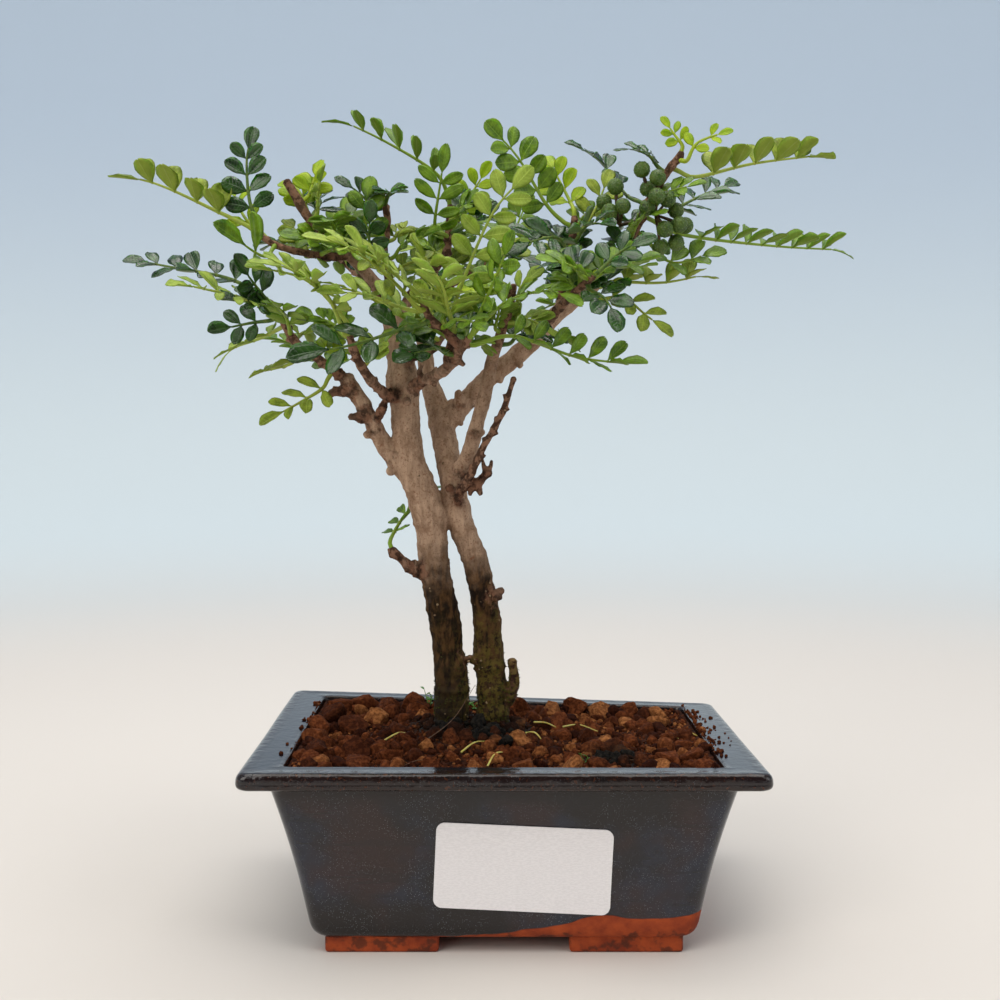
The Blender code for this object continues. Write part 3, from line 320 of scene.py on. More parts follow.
# Limbs as x, y, z and radius in millimetres, each from inside the wood that it grows from
LIMBS = {
    "left_trunk": [(-17, 5, 32, 5.6), (-17, 5, 60, 5.6), (-17, 5, 71, 5.4), (-18, 5, 80, 4.9),
        (-19, 4, 90, 5.1), (-21, 3, 100, 4.9), (-22.5, 2, 110, 4.8), (-23, 2, 118, 5), (-24, 2, 125, 5.7),
        (-27, 1, 134, 5), (-30, 0, 141, 5.1), (-31, 0, 152, 4.6), (-31.5, 0, 160, 4.6), (-32, 0, 166, 5.2),
        (-32.5, 0, 174, 4.3), (-34, 1, 184, 4.2), (-35.5, 2, 191, 3.2)],
    "right_trunk": [(-3.5, 7, 32, 5.1), (-3.5, 7, 60, 5.1), (-4, 7, 71, 4.8), (-5, 7, 80, 4.8),
        (-5.5, 7, 90, 4.5), (-7, 6, 100, 4.2), (-9.5, 5, 110, 4.1), (-13, 4, 119, 4.1), (-15, 4, 126, 4.3),
        (-16.5, 5, 134, 3.9), (-18, 8, 142, 4), (-20, 11, 152, 4.1), (-22, 14, 160, 3.6),
        (-25, 17, 169, 2.9), (-26, 19, 177, 2.6), (-27, 22, 186, 2.3), (-26, 27, 196, 2),
        (-23, 33, 207, 1.7), (-19, 38, 216, 1.4), (-16, 43, 223, 1.1)],
    "right_limb": [(-19, 11, 153, 3.1), (-12, 11, 161, 3.2), (-5, 10, 168, 3.2), (2.5, 8, 174, 3),
        (10, 7, 180.5, 2.9), (16, 6, 187.5, 2.7), (22, 5, 192.5, 2.6), (29, 4, 198, 2.4)],
    "right_leader": [(25, 5, 194.5, 1.8), (30.5, 4, 201, 1.6), (35, 3, 205, 1.6), (39, 2, 210, 1.8),
        (42.5, 1, 216.5, 1.3), (46, 0, 224, 1.3), (50.5, -2, 231, 1.3), (55, -4, 237, 1.1)],
    "right_inner_twig": [(17.5, 6, 189, 1.5), (19, 3, 197, 1.3), (20.5, 1, 204.5, 1.2),
        (21.5, -1, 211, 1.2), (22, -3, 217.5, 1)],
    "right_rise": [(-15.5, 5, 129, 3), (-14, 2, 138, 2.6), (-11, -1, 144, 2.4), (-8.5, -3, 153, 2.3),
        (-6, -4, 162, 2.2), (-4, -5, 172, 2), (-1, -8, 181, 1.6), (1.5, -11, 188, 1.4),
        (3, -14, 195.5, 1.1)],
    "dead_twig": [(-15, 2, 124, 1.4), (-14, -3, 131, 1.3), (-10, -7, 138, 1.2), (-7, -8, 145, 1.1),
        (-3, -9, 152, 1), (0, -9.5, 158, 1), (3, -9, 167, 0.8)],
    "dead_spur": [(-12.5, -4, 134, 1.2), (-8.5, -3.5, 134.5, 1.5), (-5, -4, 138, 1.2)],
    "left_limb": [(-31, 0, 137, 3), (-35.5, -1, 143, 2.8), (-38, -2, 147, 2.7), (-41, -3, 153, 2.6),
        (-44, -4, 159, 2.5), (-47, -5, 163.5, 2.4), (-49, -6, 168, 2.1)],
    "left_stub": [(-46.5, -5, 163, 1.7), (-50, -6, 163.5, 1.6), (-53.5, -6, 163, 1.4)],
    "left_low_stub": [(-41.5, -3, 154, 1.5), (-44.5, -5, 155, 1.4), (-47.5, -6, 155.5, 1.2)],
    "left_spur": [(-40.5, -4, 154, 1.5), (-38.5, -7, 157, 1.3), (-37, -8, 160, 1)],
    "left_low_twig": [(-48, -6, 166, 1.8), (-52.5, -8, 169.5, 1.5), (-57, -10, 173, 1.4),
        (-61.5, -11, 176, 1.4), (-65, -12, 179.5, 1.3), (-68, -12, 185, 1.1), (-72, -12, 190.5, 0.9)],
    "knuckle_twig": [(-32, -2, 161, 1.8), (-36, -6, 162, 1.6), (-39, -10, 164.5, 1.5),
        (-41.5, -14, 167.5, 1.5), (-44, -17, 172, 1.4), (-46, -19, 177, 1.2), (-46.5, -21, 181.5, 1)],
    "front_limb": [(-31, -2, 163.5, 2), (-26, -9, 166, 1.8), (-22, -14, 167.5, 1.7), (-18, -19, 169.5, 1.7),
        (-14.5, -24, 172.5, 1.6), (-13, -28, 175.5, 1.5), (-10.5, -31, 178, 1.1)],
    "front_spur": [(-17, -20, 170, 1.4), (-16.5, -23, 175, 1.3), (-15, -25, 179.5, 1)],
    "front_red_twig": [(-13, -29, 176, 1.3), (-16, -31, 179, 1.2), (-19.5, -33, 182, 1.1),
        (-22, -35, 184.5, 1.1), (-23.5, -36, 188.5, 0.9)],
    "high_spur": [(-32, -1, 173, 1.6), (-27, -5, 175, 1.3), (-22, -7, 176.5, 1.2), (-19, -9, 180, 0.9)],
    "bud_spur": [(-33, 0, 182, 1.5), (-27, -5, 185, 1.2), (-21, -8, 184.5, 0.9)],
    "left_high_limb": [(-35, 1.5, 186, 2.5), (-38, 0, 194, 2.2), (-43.5, -2, 201, 1.9),
        (-49.5, -4, 207, 1.7), (-55, -6, 212, 1.5), (-60.5, -7, 217, 1.5), (-64, -8, 223, 1.5),
        (-67, -8, 228, 1.3)],
    "left_mid_twig": [(-48, -4, 205.5, 1.3), (-55, -8, 205, 1.1), (-63, -11, 206, 1.1),
        (-70.5, -14, 208, 1), (-76, -16, 212, 0.9)],
    "middle_twig": [(-35, 2, 187, 2), (-36, 5, 196, 1.5), (-38, 6, 205, 1.2), (-38, 6, 212, 1.1),
        (-37, 5, 218, 1.1), (-38.5, 4, 225, 1), (-40.5, 3, 228, 0.9)],
    "centre_high": [(-35, 2, 186, 2.2), (-29.5, 8, 194.5, 1.7), (-24.5, 11, 201, 1.4),
        (-20.5, 13, 206, 1.3), (-18, 14, 211, 1.2), (-18, 14, 217, 1.1), (-17.5, 14, 224, 0.9)],
    "back_left_limb": [(-35, 2.5, 188, 2), (-39, 14, 194, 1.6), (-45.5, 26, 201, 1.4),
        (-52.5, 38, 207, 1.2), (-59, 48, 212, 0.9)],
    "centre_back": [(-26.5, 25, 193, 1.5), (-18, 34, 200.5, 1.3), (-8, 42, 207.5, 1.2),
        (0.5, 50, 214, 0.9)],
    "back_right": [(4.5, 8, 176, 1.8), (11.5, 20, 182.5, 1.5), (18, 32, 190.5, 1.3), (25, 42, 197.5, 1.1),
        (31, 50, 204, 0.9)],
    "front_right": [(14, 6, 185.5, 1.6), (16, -6, 188, 1.4), (19, -17, 190.5, 1.2), (22.5, -26, 193.5, 1.1),
        (26, -34, 196, 0.9)],
    "trunk_spur": [(-24, 2, 104, 1.8), (-28, 1, 106, 1.6), (-31, -1, 109, 1.5), (-35, -2, 113, 1.1)],
    "trunk_knob": [(-6.5, 6, 97, 2), (-2.5, 4, 98, 1.7), (-1, 3, 99.5, 1.2)],
    "base_knob": [(-7, 6, 76, 1.7), (-11, 4, 77.5, 1.3)],
    "old_stub": [(-2, 7, 62, 2), (2.2, 6, 65, 1.9), (3.4, 5, 70, 1.8), (2.8, 5, 76, 1.4)],
}

# Fronds: the limb that carries it, how far its seat is back from the limb's tip, the points of its rachis
# up to its tip, leaflet pairs, leaflet length, the way its upper side faces, and its green
FRONDS = {
    "left_long": ("left_mid_twig", 0, [(-86, -17, 217), (-104, -19, 225), (-118.5, -20, 228)], 4, 9.5,
        (0, -0.15, 1), "olive"),
    "left_upright": ("left_mid_twig", 2.6, [(-77, -15, 220), (-78, -14, 234), (-75.5, -12, 243.5)], 4, 7.5,
        (0.1, -1, 0.2), "dark"),
    "left_back": ("left_mid_twig", 5.2, [(-80, -9, 217), (-86, 0, 229)], 2, 7, (-0.3, -0.6, 0.7), "lime"),
    "left_bright": ("left_high_limb", 8, [(-60, -6, 225), (-57, -3, 236)], 2, 6.5, (0, -0.6, 0.8), "lime"),
    "left_pair": ("left_mid_twig", 8, [(-72, -25, 203), (-82, -38, 210)], 1, 11, (0, -0.8, 0.5), "mid"),
    "left_dark": ("left_low_twig", 0, [(-85, -11, 198), (-105, -9, 202), (-118, -8, 204.5)], 5, 8,
        (0, -0.5, 0.85), "dark"),
    "left_pale": ("left_low_twig", 2.8, [(-79, -22, 191), (-96, -38, 194)], 4, 8, (0, -0.5, 0.85), "pale"),
    "left_fan": ("left_low_twig", 5.5, [(-78, -13, 184), (-90, -17, 181)], 2, 7.5, (0, -0.9, 0.4), "dark"),
    "left_hanging": ("left_low_twig", 8.5, [(-77, -2, 180), (-87, 4, 177), (-93, 7, 171)], 3, 8,
        (0, -0.4, 0.9), "pale"),
    "left_under": ("left_low_twig", 17, [(-67, -4, 172), (-82, 5, 169)], 3, 7, (0, -0.3, 1), "olive"),
    "left_drooping": ("left_low_twig", 29, [(-56, -12, 164), (-62, -15, 160), (-73, -20, 153.5)], 3, 7.5,
        (0, -0.6, 0.8), "olive"),
    "left_rear": ("left_limb", 4, [(-55, 8, 172), (-68, 20, 179), (-82, 32, 184)], 4, 8, (0, -0.3, 1),
        "mid"),
    "front_left_dark": ("front_red_twig", 5.8, [(-30, -39, 180), (-44, -47, 175), (-59, -52, 172.5)], 3,
        10.5, (0, -0.8, 0.6), "dark"),
    "front_left_high": ("front_red_twig", 0, [(-29, -42, 194), (-38, -53, 200), (-53, -62, 204)], 5, 8.5,
        (0, -0.6, 0.8), "pale"),
    "front_left_mid": ("front_red_twig", 2.8, [(-31, -38, 187), (-40, -42, 190), (-52, -44, 190)], 4, 7.5,
        (0, -0.6, 0.8), "pale"),
    "front_left_long": ("knuckle_twig", 0, [(-51, -27, 189), (-58, -38, 195), (-71, -50, 197)], 5, 8,
        (0, -0.6, 0.8), "pale"),
    "centre_front": ("front_spur", 0, [(-16, -40, 186), (-17, -57, 191), (-20, -72, 195)], 5, 8.5,
        (0, -0.4, 0.9), "pale"),
    "front_right_arch": ("front_limb", 0, [(0, -35, 188), (12, -41, 191), (22, -46, 187)], 5, 8,
        (0, -0.5, 0.9), "mid"),
    "centre_rise": ("front_spur", 2.8, [(-12, -30, 195), (-3, -37, 214), (8, -43, 225)], 5, 8.5,
        (0.3, -1, 0.3), "pale"),
    "low_right": ("front_limb", 3, [(3, -29, 179), (22, -25, 173), (42, -22, 171)], 5, 8, (0, -0.6, 0.8),
        "mid"),
    "centre_long": ("centre_high", 0, [(-22, 10, 234), (-38, 5, 243), (-55, 0, 250)], 5, 8.5,
        (0.4, -0.15, 0.9), "mid"),
    "centre_upright": ("centre_high", 10, [(-22, 5, 216), (-20, -1, 228), (-18, -6, 238.5)], 4, 8,
        (0, -1, 0.3), "mid"),
    "middle_fan": ("middle_twig", 16, [(-43, -2, 213), (-43, -5, 221), (-41, -6, 230)], 2, 7.5,
        (0, -1, 0.3), "mid"),
    "middle_low": ("middle_twig", 14, [(-45, 12, 217), (-57, 22, 223)], 3, 7.5, (0, -0.6, 0.8), "pale"),
    "middle_dark": ("left_high_limb", 33, [(-42, -7, 206), (-41, -13, 214), (-40, -16, 221)], 3, 7.5,
        (0, -1, 0.3), "dark"),
    "centre_tall": ("right_inner_twig", 2.8, [(13, -3, 222), (4, -6, 236), (-6, -8, 246)], 5, 8,
        (-0.3, -0.8, 0.5), "mid"),
    "centre_bright": ("right_trunk", 0, [(-12, 41, 231), (-4, 38, 243)], 3, 7, (0, -1, 0.3), "lime"),
    "inner_bright": ("right_inner_twig", 0, [(20, 1, 225), (13, 8, 240)], 3, 7, (0, -1, 0.2), "lime"),
    "glossy_left": ("right_inner_twig", 10, [(15, -14, 210), (2, -28, 205)], 3, 8.5, (0, -0.8, 0.6),
        "dark"),
    "glossy_right": ("right_inner_twig", 7.6, [(26, -13, 214), (33, -25, 212)], 2, 8.5, (0, -0.8, 0.6),
        "dark"),
    "inner_low": ("front_right", 2.6, [(19, -41, 198), (9, -47, 200)], 3, 7.5, (0, -0.7, 0.7), "mid"),
    "right_long": ("right_leader", 5, [(61, 1, 231), (80, 5, 236), (106.5, 10, 240)], 5, 9.5, (0, -0.1, 1),
        "olive"),
    "right_thin": ("right_leader", 22, [(58, 9, 214), (90, 24, 212.5), (119, 35, 212.5)], 6, 8.5,
        (0, -0.2, 1), "mid"),
    "right_glossy": ("right_leader", 14, [(55, 11, 223), (66, 22, 229), (80, 34, 236)], 4, 8.5,
        (0, -0.7, 0.7), "dark"),
    "right_under": ("right_limb", 1, [(35, 8, 199), (52, 11, 199), (70, 15, 203)], 4, 8, (0, -0.2, 1),
        "olive"),
    "right_droop": ("right_limb", 4.5, [(38, 1, 193), (45, -3, 187), (53, -6, 181)], 3, 8.5, (0, -0.5, 0.9),
        "olive"),
    "right_hanging": ("front_right", 5, [(29, -38, 189), (33, -46, 181)], 2, 8, (0.3, -1, 0.2), "dark"),
    "right_point": ("front_right", 0, [(34, -36, 203), (43, -40, 207)], 2, 8, (0, -0.7, 0.7), "dark"),
    "right_short": ("right_leader", 27, [(54, 4, 204.5), (70, 1, 209)], 3, 8, (0, -0.6, 0.8), "mid"),
    "low_round": ("right_limb", 20.6, [(18, 14, 182), (26, 22, 178)], 2, 8, (0, -0.6, 0.8), "mid"),
    "notched": ("right_inner_twig", 5.2, [(29, -1, 221), (34, 3, 234)], 2, 7.5, (0, -1, 0.2), "olive"),
    "right_cross": ("right_leader", 18.5, [(39, 9, 227), (31, 12, 238), (20, 12, 245)], 4, 7.5,
        (0.6, -0.4, 0.7), "dark"),
    "tip_young": ("right_leader", 2.4, [(60, -7, 240), (70, -11, 243)], 2, 5, (0, -0.8, 0.5), "lime"),
    "tip_bud": ("right_leader", 0, [(53, -4, 243), (49, -3, 249)], 2, 5, (0, -1, 0.1), "lime"),
    "tip_left": ("right_leader", 7.5, [(44, -5, 237), (34, -8, 239)], 3, 6, (0, -0.4, 0.9), "dark"),
    "trunk_shoot": ("trunk_spur", 0, [(-35.5, 3, 118), (-32, 10, 124), (-27, 13, 129), (-20, 15, 134)], 4,
        5.5, (-0.3, 0, 1), "mid"),
    "back_left_far": ("back_left_limb", 0, [(-68, 55, 216), (-82, 64, 218)], 4, 8, (0, 0.2, 1), "mid"),
    "back_left_rise": ("back_left_limb", 3, [(-58, 52, 222), (-55, 58, 235)], 3, 8, (-0.2, 1, 0.3), "mid"),
    "back_centre": ("centre_back", 0, [(4, 56, 222), (10, 61, 237)], 4, 8, (0, 1, 0.3), "mid"),
    "back_centre_left": ("centre_back", 4, [(-10, 54, 214), (-19, 72, 216)], 4, 8, (0, 0.3, 1), "mid"),
    "back_right_far": ("back_right", 0, [(41, 57, 208), (56, 65, 212)], 4, 8, (0, 0.3, 1), "mid"),
}

# Bunches: the limb, how far back from its tip it is seated, where the stalks part, and the berries' centres
BUNCHES = {
    "fruit_right": ("right_leader", 16.5, (47, -6, 218), [(42.5, -8, 231.5), (44.5, -6, 226),
        (47, -11, 228.5), (50.5, -8, 222.5), (44, -10, 219.5), (53.5, -5, 219.5), (46.5, -13, 222.5),
        (49.5, -10, 213), (54, -9, 214.5), (56.5, -4, 215), (53.5, -6, 209.5), (48.5, -6, 208)]),
    "fruit_left": ("right_leader", 24, (36, -5, 215), [(34.5, -7, 226.5), (31, -6, 222), (32.5, -9, 218.5),
        (36.5, -10, 220)]),
}

# The limbs that rise from the soil
TRUNKS = ("left_trunk", "right_trunk")

# A leaflet's half width, in widths, at shares of its length from its foot to its notched tip
BLADE_OUTLINE = (
    (0, 0.035), (0.08, 0.09), (0.20, 0.25), (0.34, 0.40), (0.49, 0.48), (0.63, 0.50), (0.76, 0.46),
    (0.87, 0.365), (0.955, 0.21), (1, 0.06),
)
BLADE_COLUMNS = (-1, -0.52, 0, 0.52, 1)
BLADE_THICKNESS = 0.032
RIB_GROOVE = 0.016
CRENATION = 0.022
TIP_NOTCH = 0.035

# How leaflets differ: their cup across, droop along, twist and wave of the edge
BLADE_FORMS = (
    (0.16, 0.10, 0.00, 0.014), (0.30, 0.04, 0.12, 0.020), (0.08, 0.22, -0.14, 0.026),
    (-0.10, 0.28, 0.06, 0.022), (0.42, -0.06, 0.00, 0.016), (0.20, 0.16, 0.22, 0.034),
    (0.04, 0.34, -0.05, 0.02),
)

# Granules that stand out in the photograph: x, y and half size in millimetres
MARKED_GRANULES = (
    (-43, -36, 5.2), (49, -30, 5.6), (45.5, -38, 3.6), (16, 31, 5.4), (-40, 35, 5.0), (-56, -24, 5.0),
    (-59, 2, 4.8), (-57, 20, 5.2), (-30, 27, 4.6), (52, 22, 4.8), (-22, -38, 3.4), (6, -38, 4.0),
    (20, -37.5, 3.8), (-8, -37, 3.2), (33, -14, 4.2), (-52, -38.5, 3.2), (-57, 37, 4.6), (-48, 40, 5.0),
    (-31, 39, 4.8), (-21, 40, 4.2), (-3, 40, 4.4), (6, 39, 4.8), (25, 40, 4.6), (34, 38, 5.0), (44, 40, 4.4),
    (54, 37, 4.2), (-59, -10, 4.6), (-58, -35, 3.8), (-50, 10, 4.8), (-46, -20, 5.0), (-34, -27, 4.4),
)

# Fine roots on the soil: their two shades, their radius, and the points of each in millimetres
ROOTLETS = {
    "yellow": ((0.42, 0.34, 0.06), (0.62, 0.55, 0.16), 0.34 * MM, (
        [(7, -6, 1.2), (10, -8, 2.4), (13, -13, 0.6)], [(10, 8, 1.6), (14, 5, 2.8), (19, 6, 1)],
        [(-13, -24, 0.8), (-9, -20, 2.2), (-5, -15, 0.6)],
        [(-5, -36, 0.6), (-2, -30, 3), (5, -25, 0.8)], [(-38, -10, 0.8), (-33, -7, 2), (-29, -8, 0.8)],
        [(56, 0, 0.8), (59, 2, 2.2), (62, -1, 0.8)], [(19, 12, 0.9), (25, 14, 2), (31, 11, 0.9)],
    )),
    "dark": ((0.06, 0.03, 0.015), (0.16, 0.09, 0.05), 0.16 * MM, (
        [(-26, -16, 0.6), (-16, -12, 6), (-9, -5, 14)],
        [(-22, -30, 0.6), (-26, -34, 1.8), (-31, -37, 0.5)],
        [(38, -26, 0.7), (44, -29, 1.6), (50, -22, 0.6)],
    )),
}
SEEDLINGS = ((-26, 40, 7), (-31, 40.5, 5), (-47, 40.5, 4), (24.5, -27, 3.5), (-11, 36, 4.5))


class Wire:
    """An output of a node in a tree. The nodes that work on it are added to the same tree."""

    def __init__(self, tree, node=None, output=0):
        self.tree = tree
        self.node = node
        self.socket = node.outputs[output] if node and node.outputs else None

    def __getitem__(self, output):
        """Another output of the same node."""
        return Wire(self.tree, self.node, output)

    def add(self, kind, *numbered, **named):
        """Adds a node: inputs in order or by a name with a capital, settings by a name without one."""
        node = self.tree.nodes.new(kind)
        inputs = dict(enumerate(numbered))
        for name, value in named.items():
            if name[0].isupper():
                inputs[name.replace("_", " ")] = value
            else:
                setattr(node, name, value)
        for name, value in inputs.items():
            socket = node.inputs[name]
            if isinstance(value, Wire):
                self.tree.links.new(value.socket, socket)
            elif value is not None:
                socket.default_value = (*value, 1) if socket.type == "RGBA" else value
        return Wire(self.tree, node)

    def calc(self, operation, *others, **settings):
        """This value worked on by others in a math node."""
        return self.add("ShaderNodeMath", self, *others, operation=operation, **settings)

    def __add__(self, other):
        return self.calc("ADD", other)

    def __mul__(self, other):
        return self.calc("MULTIPLY", other)

    def __sub__(self, other):
        return self.calc("SUBTRACT", other)

    def __rsub__(self, other):
        return self.add("ShaderNodeMath", other, self, operation="SUBTRACT")

    __radd__ = __add__
    __rmul__ = __mul__

    def fade(self, low, high, to_low=0.0, to_high=1.0):
        """The value moved smoothly from one range to another, and held at its ends."""
        numbers = (low, high, to_low, to_high)
        return self.add("ShaderNodeMapRange", self, *numbers, interpolation_type="SMOOTHSTEP")

    def mix(self, first, second, blend="MIX"):
        """The mix of two colours by this share."""
        unused = [None] * 5
        return self.add("ShaderNodeMix", self, *unused, first, second, data_type="RGBA", blend_type=blend)[2]

    def noise(self, scale, detail=3.0, roughness=0.55):
        """The value of a noise at this place."""
        return self.add("ShaderNodeTexNoise", self, Scale=scale, Detail=detail, Roughness=roughness)

    def stretched(self, *scale):
        """This place with each axis scaled by its own number."""
        return self.add("ShaderNodeMapping", self, Scale=scale)

    def parts(self):
        """The three parts of this vector."""
        return self.add("ShaderNodeSeparateXYZ", self)

    def scaled(self, share):
        """This vector, as long as a share of it."""
        return self.add("ShaderNodeVectorMath", self, Scale=share, operation="SCALE")

    def pattern(self, name, **inputs):
        """A shared pattern at this place, with its own values."""
        return self.add("ShaderNodeGroup", self, node_tree=shared_tree(name), **inputs)

    def named(self, name, kind="FLOAT"):
        """An attribute of the geometry."""
        return self.add("GeometryNodeInputNamedAttribute", Name=name, data_type=kind)["Attribute"]

    def random(self, more, low, high, kind="FLOAT"):
        """A seeded random number for each point."""
        unused = [None] * (2 if kind == "FLOAT" else 4)
        seed = self["Seed"] + more
        made = self.add("FunctionNodeRandomValue", *unused, low, high, Seed=seed, data_type=kind)
        return made[1 if kind == "FLOAT" else 2]


SOCKET_KINDS = {
    "VALUE": "Float", "RGBA": "Color", "GEOMETRY": "Geometry", int: "Int", float: "Float", tuple: "Color",
}
SHARED = {}


def shared(name, kind, **inputs):
    """Keeps the maker of a shared tree, and its kind and inputs: a value, or a kind of socket alone."""

    def keep(make):
        SHARED[name] = (kind, inputs, make)
        return make
    return keep


def shared_tree(name):
    """A shared node tree with its named sockets, built the first time that it is used."""
    if name not in bpy.data.node_groups:
        kind, inputs, make = SHARED[name]
        tree = bpy.data.node_groups.new(name, kind)
        for socket, value in inputs.items():
            bare = isinstance(value, str)
            made = tree.interface.new_socket(
                name=socket.replace("_", " "), in_out="INPUT",
                socket_type="NodeSocket" + (value if bare else SOCKET_KINDS[type(value)]),
            )
            if not bare:
                made.default_value = value
        start = Wire(tree)
        results = make(start.add("NodeGroupInput"))
        for socket, wire in results.items():
            kind = "NodeSocket" + SOCKET_KINDS[wire.socket.type]
            tree.interface.new_socket(name=socket, in_out="OUTPUT", socket_type=kind)
        start.add("NodeGroupOutput", *results.values())
    return bpy.data.node_groups[name]


@shared(
    "Mottle", "ShaderNodeTree", Vector="Vector", Scale=200.0, Detail=4.0, Contrast=0.5,
    Low_Color=(0, 0, 0, 1), High_Color=(1, 1, 1, 1),
)
def mottle(given):
    """Two colours that a surface wanders between, with the same value for its relief."""
    low = given["Contrast"] * 0.5
    value = given["Vector"].noise(given["Scale"], given["Detail"], 0.6).fade(low, 1 - low)
    return {"Color": value.mix(given["Low Color"], given["High Color"]), "Value": value}


@shared("Speckle", "ShaderNodeTree", Vector="Vector", Scale=900.0, Size=0.25, Share=0.5)
def speckle(given):
    """Small round spots, scattered without order."""
    cells = given.add("ShaderNodeTexVoronoi", given["Vector"], Scale=given["Scale"])
    spot = 1 - cells.fade(given["Size"] * 0.6, given["Size"])
    return {"Mask": spot * cells["Color"].parts().calc("LESS_THAN", given["Share"])}


@shared(
    "Ragged Fade", "ShaderNodeTree", Vector="Vector", Value=0.0, From=0.0, To=1.0, Scale=100.0,
    Wander=0.01,
)
def ragged_fade(given):
    """A mask that goes from 0 to 1 between two values, with a wandering border."""
    moved = (given["Vector"].noise(given["Scale"], 4.0) - 0.5) * given["Wander"] + given["Value"]
    return {"Mask": moved.fade(given["From"], given["To"])}


@shared("Leaf Veins", "ShaderNodeTree", Map="Vector", Pairs=7.0, Width=0.12)
def leaf_veins(given):
    """The midrib, the side veins and the edge of a leaflet, from its own map: U across and V along."""
    across, along, _ = given["Map"].parts()
    away = (across * 2 - 1).calc("ABSOLUTE")
    off_beat = (((along - away * 0.16) * given["Pairs"]).calc("FRACT") - 0.5).calc("ABSOLUTE")
    veins = (1 - off_beat.fade(0, given["Width"])) * (1 - away.fade(0.72, 0.92))
    return {"Rib": 1 - away.fade(0.02, 0.10), "Veins": veins, "Edge": away.fade(0.80, 0.98)}


@shared(
    "Grow Sprig", "GeometryNodeTree", Geometry="Geometry", Carried="Collection", Stalk_Material="Material",
    Carried_Material="Material", Stalk_Sides=7,
)
def grow_sprig(given):
    """Round stalks along the edges, and a leaflet, berry or lump at each vertex that carries one."""
    split = given.add("GeometryNodeSeparateGeometry", given["Geometry"], given.named("carries", "BOOLEAN"))
    curve = given.add("GeometryNodeMeshToCurve", split["Inverted"])
    circle = given.add("GeometryNodeCurvePrimitiveCircle", Resolution=given["Stalk Sides"], Radius=1.0)
    stalks = given.add(
        "GeometryNodeCurveToMesh", curve, circle, Scale=given.named("thickness"), Fill_Caps=True,
    )
    copies = given.add(
        "GeometryNodeInstanceOnPoints", Points=split, Instance=originals_of(given["Carried"]),
        Pick_Instance=True, Instance_Index=given.named("kind", "INT"),
        Rotation=given.add("FunctionNodeEulerToRotation", given.named("turn", "FLOAT_VECTOR")),
        Scale=given.named("size", "FLOAT_VECTOR"),
    )
    both = given.add("GeometryNodeJoinGeometry", stalks)
    given.tree.links.new(copies.socket, both.node.inputs[0])
    real = given.add("GeometryNodeRealizeInstances", both)
    real = given.add("GeometryNodeSetMaterial", real, Material=given["Stalk Material"])
    carries = given.named("carries", "BOOLEAN")
    return {"Geometry": given.add("GeometryNodeSetMaterial", real, carries, given["Carried Material"])}


def originals_of(collection):
    """The separate originals of a collection, at the middle."""
    return collection.add(
        "GeometryNodeCollectionInfo", collection, Separate_Children=True, Reset_Children=True,
    )


@shared(
    "Scatter", "GeometryNodeTree", Geometry="Geometry", Copies="Collection", Material="Material",
    Spacing=0.002, Most_per_Area=1e5, Smallest=0.001, Largest=0.002, Tumble=1.0, Sink=0.0, Flatten=1.0,
    Seed=1,
)
def scatter(given):
    """Lumps or tufts spread over a surface where it has cover, each turned and sized by a seeded draw."""
    points = given.add(
        "GeometryNodeDistributePointsOnFaces", given["Geometry"], Distance_Min=given["Spacing"],
        Density_Max=given["Most per Area"], Density_Factor=given.named("cover"), Seed=given["Seed"],
        distribute_method="POISSON",
    )
    toned = given.add(
        "GeometryNodeStoreNamedAttribute", points, Name="tone", Value=given.random(1, 0, 1),
        data_type="FLOAT", domain="POINT",
    )
    share = given.random(2, 0, 1).calc("POWER", 1.8)
    size = share.add("ShaderNodeMapRange", share, 0, 1, given["Smallest"], given["Largest"])
    x, y, z = [given.random(3 + axis, -math.pi, math.pi) for axis in range(3)]
    euler = given.add("ShaderNodeCombineXYZ", x * given["Tumble"], y * given["Tumble"], z)
    upright = given.add(
        "FunctionNodeRotateRotation", points["Rotation"], given.add("FunctionNodeEulerToRotation", euler),
        rotation_space="LOCAL",
    )
    drop = points["Normal"].scaled(size * given["Sink"] * -1)
    copies = given.add(
        "GeometryNodeInstanceOnPoints", Points=given.add("GeometryNodeSetPosition", toned, Offset=drop),
        Instance=originals_of(given["Copies"]), Pick_Instance=True, Rotation=upright,
        Instance_Index=given.random(7, 0, 99, "INT"),
        Scale=given.add("ShaderNodeCombineXYZ", size, size, size * given["Flatten"]),
    )
    real = given.add("GeometryNodeRealizeInstances", copies)
    return {"Geometry": given.add("GeometryNodeSetMaterial", real, Material=given["Material"])}


@shared(
    "Bark Relief", "GeometryNodeTree", Geometry="Geometry", Material="Material", Furrows=0.0002, Lumps=0.0003,
    Furrow_Scale=900.0, Lump_Scale=230.0, Flake_Scale=480.0, Flakes=0.0016,
)
def bark_relief(given):
    """Bark relief: fine furrows along the stem, lumps, and flakes at the junctions."""
    place = given.add("GeometryNodeInputPosition")
    drawn = given.add("ShaderNodeVectorMath", place, (1, 1, 0.28), operation="MULTIPLY")
    knot = given.named("knot")
    furrow = (drawn.noise(given["Furrow Scale"], 2) - 0.5) * given["Furrows"] * 2
    lump = (place.noise(given["Lump Scale"], 2) - 0.5) * given["Lumps"] * 2 * (knot * KNOT_ROUGHNESS + 1)
    flake = (place.noise(given["Flake Scale"], 3, 0.6) - 0.5) * knot * given["Flakes"]
    share = given.named("girth").fade(0.0008, 0.0042, 0.62, 1)
    offset = given.add("GeometryNodeInputNormal").scaled((furrow + lump) * share + flake)
    moved = given.add("GeometryNodeSetPosition", given["Geometry"], Offset=offset)
    return {"Geometry": given.add("GeometryNodeSetMaterial", moved, Material=given["Material"])}


